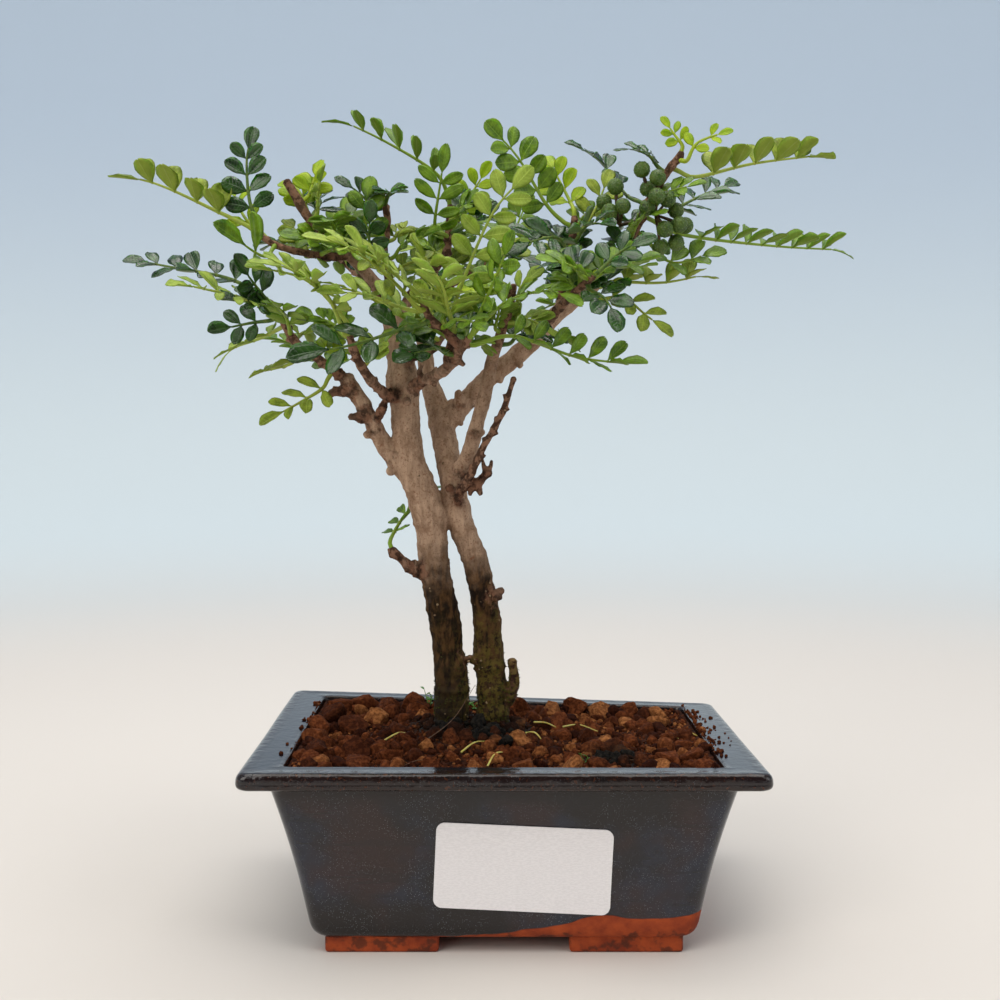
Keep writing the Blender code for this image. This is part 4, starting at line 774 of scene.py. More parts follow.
class Finish:
    """A material in the making: colours laid over one another, and what its shader is given at the end."""

    def __init__(self, name, settings=None, color=None, **values):
        self.material = bpy.data.materials.new(name)
        self.material.use_nodes = True
        self.tree = self.material.node_tree
        self.shader = self.tree.nodes["Principled BSDF"]
        self.settings = settings
        self.place = Wire(self.tree).add("ShaderNodeTexCoord")["Object"]
        self.color = self.shade(color)
        for socket, value in {"Specular_IOR_Level": SPECULAR_LEVEL, **values}.items():
            self.shader.inputs[socket.replace("_", " ")].default_value = value

    def shade(self, color):
        """A colour by the name of its setting, or as it is."""
        return tuple(getattr(self.settings, color))[:3] if isinstance(color, str) else color

    def mark(self, name):
        """A number that the mesh carries."""
        return self.place.add("ShaderNodeAttribute", attribute_name=name)["Fac"]

    def over(self, share, color, blend="MIX"):
        """Lays a colour over the ones below by a share."""
        self.color = share.mix(self.color, self.shade(color), blend)

    def mottle(self, scale, low, high, contrast=0.6, detail=4.0, place=None, share=None):
        """Lays two mottled colours over the ones below, all over or by a share. Returns their value."""
        made = (place or self.place).pattern(
            "Mottle", Scale=scale, Detail=detail, Contrast=contrast, Low_Color=self.shade(low),
            High_Color=self.shade(high),
        )
        self.color = share.mix(self.color, made) if share else made
        return made["Value"]

    def done(self, height=None, depth=0.0, **inputs):
        """Links the colour, the relief and whatever else varies to the shader."""
        if height:
            inputs["Normal"] = height.add("ShaderNodeBump", Height=height, Distance=depth)
        for socket, wire in {"Base_Color": self.color, **inputs}.items():
            self.tree.links.new(wire.socket, self.shader.inputs[socket.replace("_", " ")])
        return self.material


def blend(first, second, share):
    """The mix of two plain colours."""
    return tuple(a + (b - a) * share for a, b in zip(first, second))


def make_object(name, mesh, material=None):
    """Links a mesh into the scene as an object at the origin."""
    obj = bpy.data.objects.new(name, mesh)
    bpy.context.scene.collection.objects.link(obj)
    if material:
        mesh.materials.append(material)
    return obj


def object_from_bmesh(name, bm, material=None):
    """Turns a bmesh into a smooth object whose faces point out."""
    bmesh.ops.recalc_face_normals(bm, faces=bm.faces)
    mesh = bpy.data.meshes.new(name)
    bm.to_mesh(mesh)
    bm.free()
    return make_object(name, smooth(mesh), material)


def smooth(mesh):
    """Shades every face of a mesh smooth."""
    mesh.polygons.foreach_set("use_smooth", [True] * len(mesh.polygons))
    return mesh


def apply_modifiers(obj):
    """Gives an object the mesh that its modifiers make, and removes them."""
    graph = bpy.context.evaluated_depsgraph_get()
    mesh = bpy.data.meshes.new_from_object(obj.evaluated_get(graph), depsgraph=graph)
    obj.modifiers.clear()
    old = obj.data
    obj.data = mesh
    mesh.name = obj.name
    bpy.data.meshes.remove(old)
    return obj


def modify(obj, kind, **settings):
    """Applies one modifier to an object."""
    modifier = obj.modifiers.new(kind, kind)
    for name, value in settings.items():
        setattr(modifier, name, value)
    return apply_modifiers(obj)


def run_tree(obj, name, **values):
    """Runs a shared geometry tree on an object with named values, and keeps only its plain smooth mesh."""
    modifier = obj.modifiers.new(name, "NODES")
    modifier.node_group = shared_tree(name)
    for item in modifier.node_group.interface.items_tree:
        key = item.name.replace(" ", "_")
        if item.in_out == "INPUT" and key in values:
            modifier[item.identifier] = values[key]
    smooth(apply_modifiers(obj).data)
    return obj


def set_numbers(mesh, name, numbers):
    """Stores one number for each vertex."""
    mesh.attributes.new(name, "FLOAT", "POINT").data.foreach_set("value", list(numbers))


def finish_piece(obj, slot=None, replaces=()):
    """Hides the solids that a finished piece stands for and attaches the piece to the root body. The slot is
    not used.
    """
    if replaces:
        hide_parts(*replaces)
    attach(obj, "root")
    return obj


def clamp01(value):
    """A number held between 0 and 1."""
    return max(0.0, min(1.0, value))


def any_way(draw):
    """A direction drawn at random, not yet of length 1."""
    return Vector([draw.gauss(0, 1) for _ in range(3)])


def circle(sides, start=0.0):
    """The cosine and sine of each corner of a regular ring."""
    angles = [start + math.tau * k / sides for k in range(sides)]
    return [(math.cos(angle), math.sin(angle)) for angle in angles]


def originals(name, count, make, *more):
    """A collection outside the scene that holds a few numbered originals of copies."""
    group = bpy.data.collections.new(name)
    for i in range(count):
        group.objects.link(make("%s_%d" % (name, i), i, *more))
    return group


def drop_originals(group):
    """Removes the originals once their copies are made."""
    for obj in list(group.objects):
        bpy.data.objects.remove(obj, do_unlink=True)
    bpy.data.collections.remove(group)


class Sprig:
    """Stalks, and the places where they carry leaflets, berries or lumps."""

    def __init__(self):
        self.places = []
        self.edges = []
        self.rows = []

    def add_vertex(self, place, tone, thickness=0.0, turn=(0, 0, 0), size=(0, 0, 0), kind=0, carries=False):
        self.places.append(tuple(place))
        self.rows.append((thickness, tone, turn, size, kind, carries))

    def stalk(self, places, radii, tones=()):
        """A stalk along points, with its radius and its tone at each."""
        first = len(self.places)
        for i, (place, radius) in enumerate(zip(places, radii)):
            self.add_vertex(place, tones[i] if tones else 0.5, radius)
        self.edges.extend((i, i + 1) for i in range(first, len(self.places) - 1))

    def carry(self, place, across, along, normal, size, kind, tone):
        """A leaflet, berry or lump, whose own X, Y and Z axes point the three given ways."""
        turn = Matrix((across, along, normal)).transposed().to_euler()
        self.add_vertex(place, tone, turn=tuple(turn), size=size, kind=kind, carries=True)

    def grow(self, name, carried, stalk_material, carried_material, sides=7):
        """The finished mesh of the stalks and of all that they carry."""
        mesh = bpy.data.meshes.new(name)
        mesh.from_pydata(self.places, self.edges, [])
        kinds = (
            ("thickness", "FLOAT", "value"), ("tone", "FLOAT", "value"), ("turn", "FLOAT_VECTOR", "vector"),
            ("size", "FLOAT_VECTOR", "vector"), ("kind", "INT", "value"), ("carries", "BOOLEAN", "value"),
        )
        for (label, kind, field), column in zip(kinds, zip(*self.rows)):
            mesh.attributes.new(label, kind, "POINT").data.foreach_set(field, np.ravel(column))
        return run_tree(
            make_object(name, mesh), "Grow Sprig", Carried=carried, Stalk_Material=stalk_material,
            Carried_Material=carried_material, Stalk_Sides=sides,
        )


def twisted(point):
    """The fired pot's warp: its back rim rises on the left and drops on the right."""
    back = (point.y + RIM_HALF_Y) / (2 * RIM_HALF_Y)
    height = (point.z / POT_HEIGHT) ** 2
    return point - Vector((0, 0, RIM_TWIST * point.x / RIM_HALF_X * back * height))


def wall_share(z):
    """How far up the outer wall a height lies, from 0 at the base's edge to 1 under the rim."""
    bottom = FOOT_HEIGHT + BASE_EDGE
    return (z - bottom) / (POT_HEIGHT - RIM_BAND - bottom)


def body_half(z):
    """Half width and half depth of the straight line of the outer wall."""
    share = wall_share(z)
    width = BASE_HALF_X + share * (RIM_HALF_X - OVERHANG - BASE_HALF_X)
    depth = BASE_HALF_Y + share * (RIM_HALF_Y - OVERHANG - BASE_HALF_Y)
    return width, depth


def inside_half(z, gap=0.0):
    """Half width and half depth of the pot's inside less a gap. It opens to the rim above the shoulder."""
    low = [half - WALL for half in body_half(min(z, SHOULDER))]
    share = clamp01((z - SHOULDER) / (POT_HEIGHT - SHOULDER))
    mouth = (RIM_HALF_X - RIM_TOP_SIDE, RIM_HALF_Y - RIM_TOP_FRONT)
    return [near + share * (far - near) - gap for near, far in zip(low, mouth)]


def wall_hollow(z):
    """How far the wall curves in from its straight line."""
    return WALL_HOLLOW * math.sin(math.pi * clamp01(wall_share(z)))


def ring_points(half_x, half_y, radius, z):
    """A level rectangle with round corners and divided sides, counter-clockwise seen from above."""
    arcs = []
    for quarter, (side_x, side_y) in enumerate(((1, 1), (-1, 1), (-1, -1), (1, -1))):
        centre = Vector((side_x * (half_x - radius), side_y * (half_y - radius), z))
        angles = [math.pi / 2 * (quarter + step / CORNER_STEPS) for step in range(CORNER_STEPS + 1)]
        arcs.append([centre + Vector((math.cos(a), math.sin(a), 0)) * radius for a in angles])
    points = []
    for arc, following in zip(arcs, arcs[1:] + arcs[:1]):
        points.extend(arc)
        points.extend(arc[-1].lerp(following[0], step / SIDE_STEPS) for step in range(1, SIDE_STEPS))
    return points


def rounded_section(corners):
    """A section of half width, half depth, height and corner radius, with each of its bends rounded."""
    rows = [corners[0][0]]
    for (before, _), (bend, radius), (after, _) in zip(corners, corners[1:], corners[2:]):
        start = bend + (before - bend) * radius / np.linalg.norm((before - bend)[:3])
        end = bend + (after - bend) * radius / np.linalg.norm((after - bend)[:3])
        for step in range(ROUNDING_STEPS + 1):
            t = step / ROUNDING_STEPS
            rows.append(start * (1 - t) ** 2 + bend * 2 * t * (1 - t) + end * t**2)
    rows.append(corners[-1][0])
    fine = [rows[0]]
    for before, after in zip(rows, rows[1:]):
        steps = max(1, math.ceil(np.linalg.norm((after - before)[:3]) / LONGEST_STEP))
        fine.extend(before + (after - before) * (i + 1) / steps for i in range(steps))
    return fine


def bridge(bm, ring, following):
    """Faces between two rings of equally many vertices."""
    for i in range(len(ring)):
        j = (i + 1) % len(ring)
        bm.faces.new((ring[i], ring[j], following[j], following[i]))


def loft(bm, rings, closed=True):
    """Joins rings of equally many points into a skin. Its first end is closed, and its last may be."""
    rows = [[bm.verts.new(point) for point in ring] for ring in rings]
    for ring, following in zip(rows, rows[1:]):
        bridge(bm, ring, following)
    bm.faces.new(rows[0])
    if closed:
        bm.faces.new(rows[-1])


def lofted(name, rings, material=None, closed=True):
    """An object with the skin over some rings."""
    bm = bmesh.new()
    loft(bm, rings, closed)
    return object_from_bmesh(name, bm, material)


def join_all(target, tools, operation):
    """Joins an object to a group of others or cuts it with them. They are then removed."""
    modify(
        target, "BOOLEAN", operation=operation, operand_type="COLLECTION", collection=tools, solver="EXACT",
    )
    drop_originals(tools)


def pot_section():
    """The pot's section from the middle of its underside, round its rim, to the floor inside."""
    under = POT_HEIGHT - RIM_BAND
    inside_floor = FOOT_HEIGHT + FLOOR
    mouth = (RIM_HALF_X - RIM_TOP_SIDE, RIM_HALF_Y - RIM_TOP_FRONT, POT_HEIGHT, RIM_CORNER)
    rows = (
        ((BASE_HALF_X - 2 * BASE_EDGE, BASE_HALF_Y - 2 * BASE_EDGE, FOOT_HEIGHT, BASE_CORNER), 0),
        ((*body_half(FOOT_HEIGHT), FOOT_HEIGHT, BODY_CORNER), BASE_EDGE),
        ((*body_half(under), under, BODY_CORNER), 3.0 * MM),
        ((RIM_HALF_X, RIM_HALF_Y, under + 0.6 * MM, RIM_CORNER), 1.9 * MM),
        ((RIM_HALF_X, RIM_HALF_Y, POT_HEIGHT, RIM_CORNER), 3.0 * MM),
        (mouth, 1.6 * MM),
        ((*inside_half(SHOULDER), SHOULDER, RIM_CORNER), 2.0 * MM),
        ((*inside_half(inside_floor), inside_floor, RIM_CORNER), 3.0 * MM),
        ((*inside_half(inside_floor, 8 * MM), inside_floor, RIM_CORNER), 0),
    )
    return rounded_section([(np.array(place, float), radius) for place, radius in rows])


def build_pot(settings):
    """The fired pot with round edges, a slightly hollow wall, four feet and two drainage holes."""
    rings = []
    for half_x, half_y, z, radius in pot_section():
        hollow = wall_hollow(z)
        ring = []
        for point in ring_points(half_x - hollow, half_y - hollow, radius, z):
            waver = noise.noise(point * 28) * WOBBLE * clamp01(z / POT_HEIGHT)
            ring.append(twisted(point + Vector((point.x, point.y, 0)).normalized() * (waver - WOBBLE / 2)))
        rings.append(ring)
    pot = lofted("glazed_pot", rings)
    join_all(pot, originals("foot", 4, make_foot), "UNION")
    join_all(pot, originals("drain", 2, make_drain), "DIFFERENCE")
    mesh = smooth(pot.data)
    tops, edges = zip(*(rim_marks(2 * vert.co - twisted(vert.co)) for vert in mesh.vertices))
    set_numbers(mesh, "rim_top", tops)
    set_numbers(mesh, "rim_edge", edges)
    mesh.set_sharp_from_angle(angle=math.radians(40))
    mesh.materials.clear()
    mesh.materials.append(glaze_material(settings))
    finish_piece(pot, "glaze", ["pot"])


def rim_marks(point):
    """How much of a point lies on the rim's flat top, and how near it is to an edge where glaze thins."""
    inward = min(RIM_HALF_X - abs(point.x), RIM_HALF_Y - abs(point.y))
    outward = max(abs(point.x) - RIM_HALF_X + RIM_TOP_SIDE, abs(point.y) - RIM_HALF_Y + RIM_TOP_FRONT)
    top = clamp01((point.z - POT_HEIGHT + 1.8 * MM) / (1.4 * MM)) * clamp01((inward - 2.6 * MM) / (3.2 * MM))
    edges = (
        (inward, 1.6 * MM, POT_HEIGHT - 0.8 * MM, 2.2 * MM), (outward, 0, POT_HEIGHT - 0.4 * MM, 1.0 * MM),
        (inward, 0.4 * MM, POT_HEIGHT - RIM_BAND + 1.2 * MM, 1.3 * MM),
    )
    near = [math.exp(-(((away - x) ** 2 + (point.z - z) ** 2) / reach**2)) for away, x, z, reach in edges]
    return top, max(near)


def make_foot(name, i):
    """One L-shaped corner foot with soft edges, its top sunk into the body."""
    side_x, side_y = 2 * (i // 2) - 1, 2 * (i % 2) - 1
    x, y = FOOT_OUTER_X, FOOT_OUTER_Y
    outline = [
        (x, y), (x, y - FOOT_DEPTH), (x - FOOT_LEG, y - FOOT_DEPTH), (x - FOOT_LEG, y - FOOT_LEG),
        (x - FOOT_LENGTH, y - FOOT_LEG), (x - FOOT_LENGTH, y),
    ]
    bm = bmesh.new()
    loft(bm, [[(side_x * a, side_y * b, z) for a, b in outline] for z in (0, FOOT_HEIGHT + SUNK)])
    bmesh.ops.recalc_face_normals(bm, faces=bm.faces)
    soft = [edge for edge in bm.edges if min(vert.co.z for vert in edge.verts) < FOOT_HEIGHT / 2]
    bmesh.ops.bevel(bm, geom=soft, offset=FOOT_EDGE, segments=3, profile=0.5, affect="EDGES")
    return object_from_bmesh(name, bm)


def make_drain(name, i):
    """A round cutter through the floor."""
    bm = bmesh.new()
    bmesh.ops.create_cone(
        bm, cap_ends=True, segments=DRAIN_SIDES, radius1=DRAIN_RADIUS, radius2=DRAIN_RADIUS, depth=3 * FLOOR,
        matrix=Matrix.Translation(((2 * i - 1) * DRAIN_X, 0, FOOT_HEIGHT + FLOOR / 2)),
    )
    return object_from_bmesh(name, bm)


def glaze_material(settings):
    """Dark glaze with fine specks and painted shade under the rim, blue on the rim, thin and brown on its
    edges, and bare clay below.
    """
    glaze = Finish("glaze", settings, Specular_IOR_Level=0.4, Coat_Roughness=0.08)
    place = glaze.place
    x, _, z = place.parts()
    clouds = glaze.mottle(46, "glaze_dark", "glaze_light", 1.0, 5, place.stretched(0.6, 0.6, 1))
    glaze.over(place.stretched(0.8, 0.8, 1).noise(34, 4, 0.6).fade(0.44, 0.66, 0, 0.6), "glaze_streak")
    glaze.over(place.noise(33).fade(0.52, 0.66, 0, 0.8), "glaze_brown")
    # Painted shade: the wall is darkened with the dark glaze colour in a band just under the rim's overhang.
    glaze.over(z.fade(POT_HEIGHT - RIM_BAND - 7 * MM, POT_HEIGHT - RIM_BAND - 1 * MM, 0, 0.75), "glaze_dark")
    specks = place.pattern("Speckle", Scale=2500, Size=0.27, Share=0.5)
    glaze.over(specks * place.noise(120).fade(0.35, 0.65, 0.1, 0.5), "speck_color")
    top = glaze.mark("rim_top") * (place.noise(150, 4).fade(0.33, 0.50, 0.25, 1) * settings.rim_blue)
    glaze.mottle(120, "rim_dark", "rim_light", 1.0, 5, share=top)
    edge = glaze.mark("rim_edge")
    glaze.over(edge * place.noise(210).fade(0.24, 0.46) * 0.9, "rim_edge_color")
    bands = place.stretched(0.08, 0.08, 1).noise(420, 1)
    glaze.over(bands.fade(0.60, 0.70, 0, 0.35), (0.006, 0.006, 0.007))
    glaze.over(place.noise(900, 2).fade(0.60, 0.68, 0, 0.7) * edge, "rim_rust_color")
    fired = glaze.color
    grit = glaze.mottle(150, "clay_dark", "clay_light", 0.55, 6)
    low = z.fade(9 * MM, 3 * MM, 0, 0.14)
    glaze.over((place.noise(260, 5) + low).fade(0.62, 0.74, 0, 0.7), (0.045, 0.014, 0.006))
    bare = bare_clay_mask(place, x, z)
    glaze.color = bare.mix(fired, glaze.color)
    glazed = 1 - bare
    gloss = (top * 0.35 + 0.16) * clouds + 0.14
    ripple = place.noise(260) * (edge * 2.6) + place.noise(420, 2) * 0.35
    height = (ripple + 0.8) * glazed + grit * bare * 0.5
    return glaze.done(height, 0.25 * MM, Roughness=bare * 0.75 + gloss, Coat_Weight=glazed * 0.22)


def bare_clay_mask(place, x, z):
    """1 below the wandering line where the glaze ends, on every side of the pot."""
    across = x.calc("MULTIPLY_ADD", 1 / GLAZE_LINE_SPAN, 0.5, use_clamp=True)
    line = x.add("ShaderNodeFloatCurve", Value=across)
    points = line.node.mapping.curves[0].points
    points[0].location, points[1].location = GLAZE_LINE[0], GLAZE_LINE[-1]
    for spot in GLAZE_LINE[1:-1]:
        points.new(*spot)
    line.node.mapping.update()
    waver = (place.noise(60, 2) - 0.5) * (3 * MM)
    return 1 - (z - line * GLAZE_LINE_TOP - waver).fade(-0.2 * MM, 0.2 * MM)


def build_label(settings):
    """The blank sticker, laid on the hollow front wall and tilted a little."""
    bm = bmesh.new()
    tilt = Matrix.Rotation(-math.radians(LABEL_TILT), 2)
    outline = ring_points(LABEL_WIDTH / 2, LABEL_HEIGHT / 2, LABEL_CORNER, 0)

    def on_wall(point, lift):
        flat = tilt @ point.xy
        z = LABEL_Z + flat.y
        return bm.verts.new((LABEL_X + flat.x, -body_half(z)[1] + wall_hollow(z) - lift, z))

    borders = []
    for lift in (LABEL_THICKNESS + WOBBLE, WOBBLE / 2):
        shares = [1 - i / LABEL_RINGS for i in range(LABEL_RINGS)]
        rings = [[on_wall(point * share, lift) for point in outline] for share in shares]
        centre = on_wall(Vector((0, 0, 0)), lift)
        for outer, inner in zip(rings, rings[1:]):
            bridge(bm, outer, inner)
        for first, second in zip(rings[-1], rings[-1][1:] + rings[-1][:1]):
            bm.faces.new((first, second, centre))
        borders.append(rings[0])
    bridge(bm, *borders)
    label = object_from_bmesh("blank_sticker", bm, paper_material(settings))
    label.data.set_sharp_from_angle(angle=math.radians(50))
    finish_piece(label, "label_paper", ["blank_label"])


def paper_material(settings):
    """Coated white paper with faint fibres and faint greyish-brown patches."""
    paper = Finish("sticker paper", settings, Roughness=0.42, Coat_Weight=0.15, Coat_Roughness=0.3)
    shade = blend(paper.shade("paper_color"), BLACK, 0.07)
    fibre = paper.mottle(900, shade, "paper_color", 0.8, place=paper.place.stretched(1, 1, 3))
    paper.over(paper.place.noise(70, 5).fade(0.62, 0.80, 0, 0.12), (0.42, 0.36, 0.30))
    return paper.done(fibre, 0.02 * MM)


def dress_drain_meshes(settings):
    """The plastic meshes over the drainage holes keep their solids and get a moulded, dusty finish."""
    plastic = Finish("mesh plastic", settings, Roughness=0.55)
    value = plastic.mottle(500, (0.018, 0.018, 0.018), "plastic_color", 0.7)
    plastic.over(plastic.place.noise(260, 4).fade(0.5, 0.7, 0, 0.4), (0.16, 0.09, 0.05))
    material = plastic.done(value, 0.05 * MM)
    for name in ("drain_mesh_left", "drain_mesh_right"):
        mesh = frame["nodes"][name].data
        mesh.materials.clear()
        mesh.materials.append(material)


def soil_height(x, y):
    """The height of the soil's surface: mounded round the trunks, banked up at the sides and the back."""
    away = (Vector((x, y)) - MOUND_CENTRE).length
    edge_x, edge_y = inside_half(SOIL_EDGE)
    bank = clamp01(1 - min(edge_x - abs(x), edge_y - y) / BANK_REACH)
    return SOIL_EDGE + MOUND_HEIGHT * math.exp(-((away / MOUND_SPREAD) ** 2)) + BANK_HEIGHT * bank


def on_soil(x, y, lift=0.0):
    """A point at a height over the soil."""
    return twisted(Vector((x, y, soil_height(x, y) + lift)))


def soil_lumps(x, y):
    """The soil's own small relief."""
    place = Vector((x, y, 0))
    coarse = noise.fractal(place * 160, 0.6, 2.0, 4)
    return SOIL_RELIEF * (0.55 * coarse + 0.35 * noise.noise(place * 620))


def build_soil(settings):
    """The potting mix: a finely broken surface over a body that fills the pot."""
    half_x, half_y = inside_half(SOIL_EDGE, SOIL_GAP)
    columns, rows = SOIL_CELLS
    bm = bmesh.new()
    grid = []
    for row in range(rows + 1):
        y = half_y * (2 * row / rows - 1)
        line = [half_x * (2 * column / columns - 1) for column in range(columns + 1)]
        grid.append([bm.verts.new(on_soil(x, y, soil_lumps(x, y))) for x in line])
    for lower, upper in zip(grid, grid[1:]):
        for i in range(columns):
            bm.faces.new((lower[i], lower[i + 1], upper[i + 1], upper[i]))
    border = grid[0] + [line[-1] for line in grid[1:]] + grid[-1][-2::-1]
    border += [line[0] for line in grid[-2:0:-1]]
    ring = border
    for z in (SHOULDER, FOOT_HEIGHT + FLOOR + SOIL_GAP):
        low_x, low_y = inside_half(z, SOIL_GAP + WALL_HOLLOW)
        points = [Vector((vert.co.x * low_x / half_x, vert.co.y * low_y / half_y, z)) for vert in border]
        lower = [bm.verts.new(twisted(point)) for point in points]
        bridge(bm, ring, lower)
        ring = lower
    bm.faces.new(ring)
    finish_piece(object_from_bmesh("potting_mix", bm, soil_material(settings)), "akadama", ["soil"])


def damp_mound(place):
    """1 on the dark damp mound at the trunks, and on a dark patch at the front right."""
    damp = 0.0
    for middle, dry, wet in DARK_PATCHES:
        flat = place.stretched(1, 1, 0)
        away = flat.add("ShaderNodeVectorMath", flat, (*middle, 0), operation="DISTANCE")["Value"]
        fade = place.pattern("Ragged Fade", Value=away, From=dry, To=wet, Scale=120, Wander=dry)
        damp = fade.calc("MAXIMUM", damp)
    return damp


def soil_material(settings):
    """Reddish-brown crumb, black and damp round the trunks."""
    soil = Finish("potting mix", settings, Specular_IOR_Level=0.1)
    grit = soil.mottle(700, "soil_dark", "soil_light", 0.7)
    wet = damp_mound(soil.place)
    soil.mottle(900, (0.004, 0.003, 0.002), (0.030, 0.020, 0.014), 0.7, share=wet)
    return soil.done(grit, 0.3 * MM, Roughness=0.95 - wet * 0.35)


def clay_material(settings):
    """Baked clay granules: each its own shade from dark wet red-brown to pale ochre, dusty and pitted, with
    painted shade in the low spots of their relief.
    """
    clay = Finish("akadama", settings, "granule_dark", Roughness=0.92, Specular_IOR_Level=0.08)
    place = clay.place
    tone = clay.mark("tone")
    clay.over(tone.fade(0, 0.75), "granule_mid")
    clay.over(tone.fade(0.80, 1), "granule_pale")
    # Painted shade: the colour is darkened where the grit relief is low, as in shadowed hollows.
    grit = place.pattern("Mottle", Scale=850, Detail=5, Contrast=0.75)["Value"]
    clay.over(1 - grit, (0.45, 0.40, 0.38), "MULTIPLY")
    clay.over(place.noise(330, 4).fade(0.55, 0.75, 0, 0.25), "granule_dust")
    clay.over(damp_mound(place) * 0.85, (0.012, 0.007, 0.005))
    pits = place.pattern("Speckle", Scale=1600, Size=0.35, Share=0.3)
    return clay.done(place.noise(2600, 4, 0.7) * 0.8 + grit - pits * 0.6, 0.34 * MM)


def make_lump(name, i, seed, subdivisions, facets=12, roughness=0.05):
    """A clay lump about 1 unit in radius: a ball cut by random planes and roughened."""
    draw = random.Random(seed + i)
    bm = bmesh.new()
    bmesh.ops.create_icosphere(bm, subdivisions=subdivisions, radius=1)
    for _ in range(facets):
        normal = any_way(draw).normalized()
        depth = draw.uniform(0.50, 0.80)
        for vert in bm.verts:
            vert.co -= 0.97 * max(0, vert.co.dot(normal) - depth) * normal
    offset = Vector([draw.uniform(0, 50) for _ in range(3)])
    for vert in bm.verts:
        rough = noise.noise(vert.co * 2.2 + offset) + 0.6 * noise.noise(vert.co * 6 + offset)
        vert.co *= 1.20 + 2.2 * roughness * rough
    return object_from_bmesh(name, bm)


def lay_lump(sprig, draw, place, size, slimmest, kinds, tone=None):
    """One lump at a place, turned and shaped at random, and toned too where no tone is given."""
    turn = Matrix.Rotation(draw.uniform(0, math.tau), 3, any_way(draw))
    shape = [size * draw.uniform(slimmest, 1.0) for _ in range(3)]
    kind = draw.randrange(kinds)
    tone = draw.uniform(0.25, 1.0) if tone is None else tone
    sprig.carry(place, *turn.transposed(), shape, kind, tone)


def solid_granules():
    """Place and size of each granule that the soil's solid has, by the same draws."""
    half_x, half_y = inside_half(SOIL_EDGE, SOIL_GAP)
    draw = random.Random(5)
    trunks = [Vector(LIMBS[name][1][:2]) * MM for name in TRUNKS]
    placed = []
    while len(placed) < GRANULES:
        size = draw.uniform(*GRANULE_SIZES)
        spot = Vector((
            draw.uniform(-1, 1) * (half_x - size - GRANULE_MARGIN),
            draw.uniform(-1, 1) * (half_y - size - GRANULE_MARGIN),
        ))
        crowded = any((spot - other).length < 0.9 * (size + width) for other, width in placed)
        if crowded or any((spot - trunk).length < TRUNK_CLEARANCE + size for trunk in trunks):
            continue
        placed.append((spot, size))
        for _ in range(GRANULE_DRAWS):
            draw.uniform(*GRANULE_ROUGHNESS)
        draw.uniform(0, math.tau)
    return placed


def build_large_granules(settings):
    """The large clay granules: those of the soil's solid, and the ones that stand out in the photograph."""
    lumps = originals("lump", 7, make_lump, 40, 3)
    draw = random.Random(12)
    sprig = Sprig()
    marked = [(Vector((x, y)) * MM, size * MM) for x, y, size in MARKED_GRANULES]
    clear = [
        (spot, size) for spot, size in solid_granules()
        if all((spot - other).length > 0.75 * (size + width) for other, width in marked)
    ]
    for spot, size in clear + marked:
        lay_lump(sprig, draw, on_soil(*spot, GRANULE_RISE * size), size, 0.78, 7)
    clay = clay_material(settings)
    finish_piece(sprig.grow("large_granules", lumps, clay, clay), "akadama")
    drop_originals(lumps)


def build_loose_bits(settings):
    """Crumbs spilled on the rim, and black bits of bark on the mound before the trunks."""
    draw = random.Random(31)
    bits = originals("bit", 6, make_lump, 160, 2, 9, 0.13)
    crumbs, black = Sprig(), Sprig()

    def size_between(small, large):
        return small + (large - small) * draw.random() ** 2

    for side, middle, count, spread in SPILLS:
        for _ in range(count):
            size = size_between(*CRUMB_SIZES)
            away = RIM_HALF_X - RIM_TOP_SIDE + min(draw.expovariate(1 / spread), 3.2 * spread) * MM
            y = draw.gauss(middle, 0.11) * RIM_HALF_Y
            place = twisted(Vector((side * away, y, POT_HEIGHT + 0.2 * size)))
            lay_lump(crumbs, draw, place, size, 0.7, 6, draw.uniform(0.3, 0.95))
    for x, y, spread, count in CHARRED_SPOTS:
        for _ in range(count):
            size = size_between(*CHARRED_SIZES)
            spot = (draw.gauss(x, spread) * MM, draw.gauss(y, 0.6 * spread) * MM)
            lay_lump(black, draw, on_soil(*spot, 0.4 * size), size, 0.7, 6, 0)
    clay = clay_material(settings)
    finish_piece(crumbs.grow("crumbs_on_rim", bits, clay, clay), "akadama")
    char = Finish("black bark bits", Roughness=0.85, Specular_IOR_Level=0.1)
    grit = char.mottle(900, (0.003, 0.003, 0.003), (0.022, 0.018, 0.014), 0.7)
    char.done(grit, 0.4 * MM)
    finish_piece(black.grow("black_bark_bits", bits, char.material, char.material))
    drop_originals(bits)


def face_up(obj):
    """Turns a sheet's faces up."""
    if obj.data.polygons[0].normal.z < 0:
        obj.data.flip_normals()
    return obj


def scatter_over(surface, rule, name, group, slot=None, **values):
    """A piece of many small copies, spread over a surface where a rule gives it cover."""
    surface.name = name
    set_numbers(surface.data, "cover", [rule(vert.co) for vert in surface.data.vertices])
    run_tree(surface, "Scatter", Copies=group, **values)
    drop_originals(group)
    finish_piece(surface, slot)


def soil_sheet():
    """A light copy of the soil's surface."""
    half_x, half_y = inside_half(SOIL_EDGE, SOIL_GAP + 1.2 * MM)
    bm = bmesh.new()
    bmesh.ops.create_grid(bm, x_segments=60, y_segments=42, size=1)
    for vert in bm.verts:
        vert.co = on_soil(vert.co.x * half_x, vert.co.y * half_y)
    return face_up(object_from_bmesh("sheet", bm))


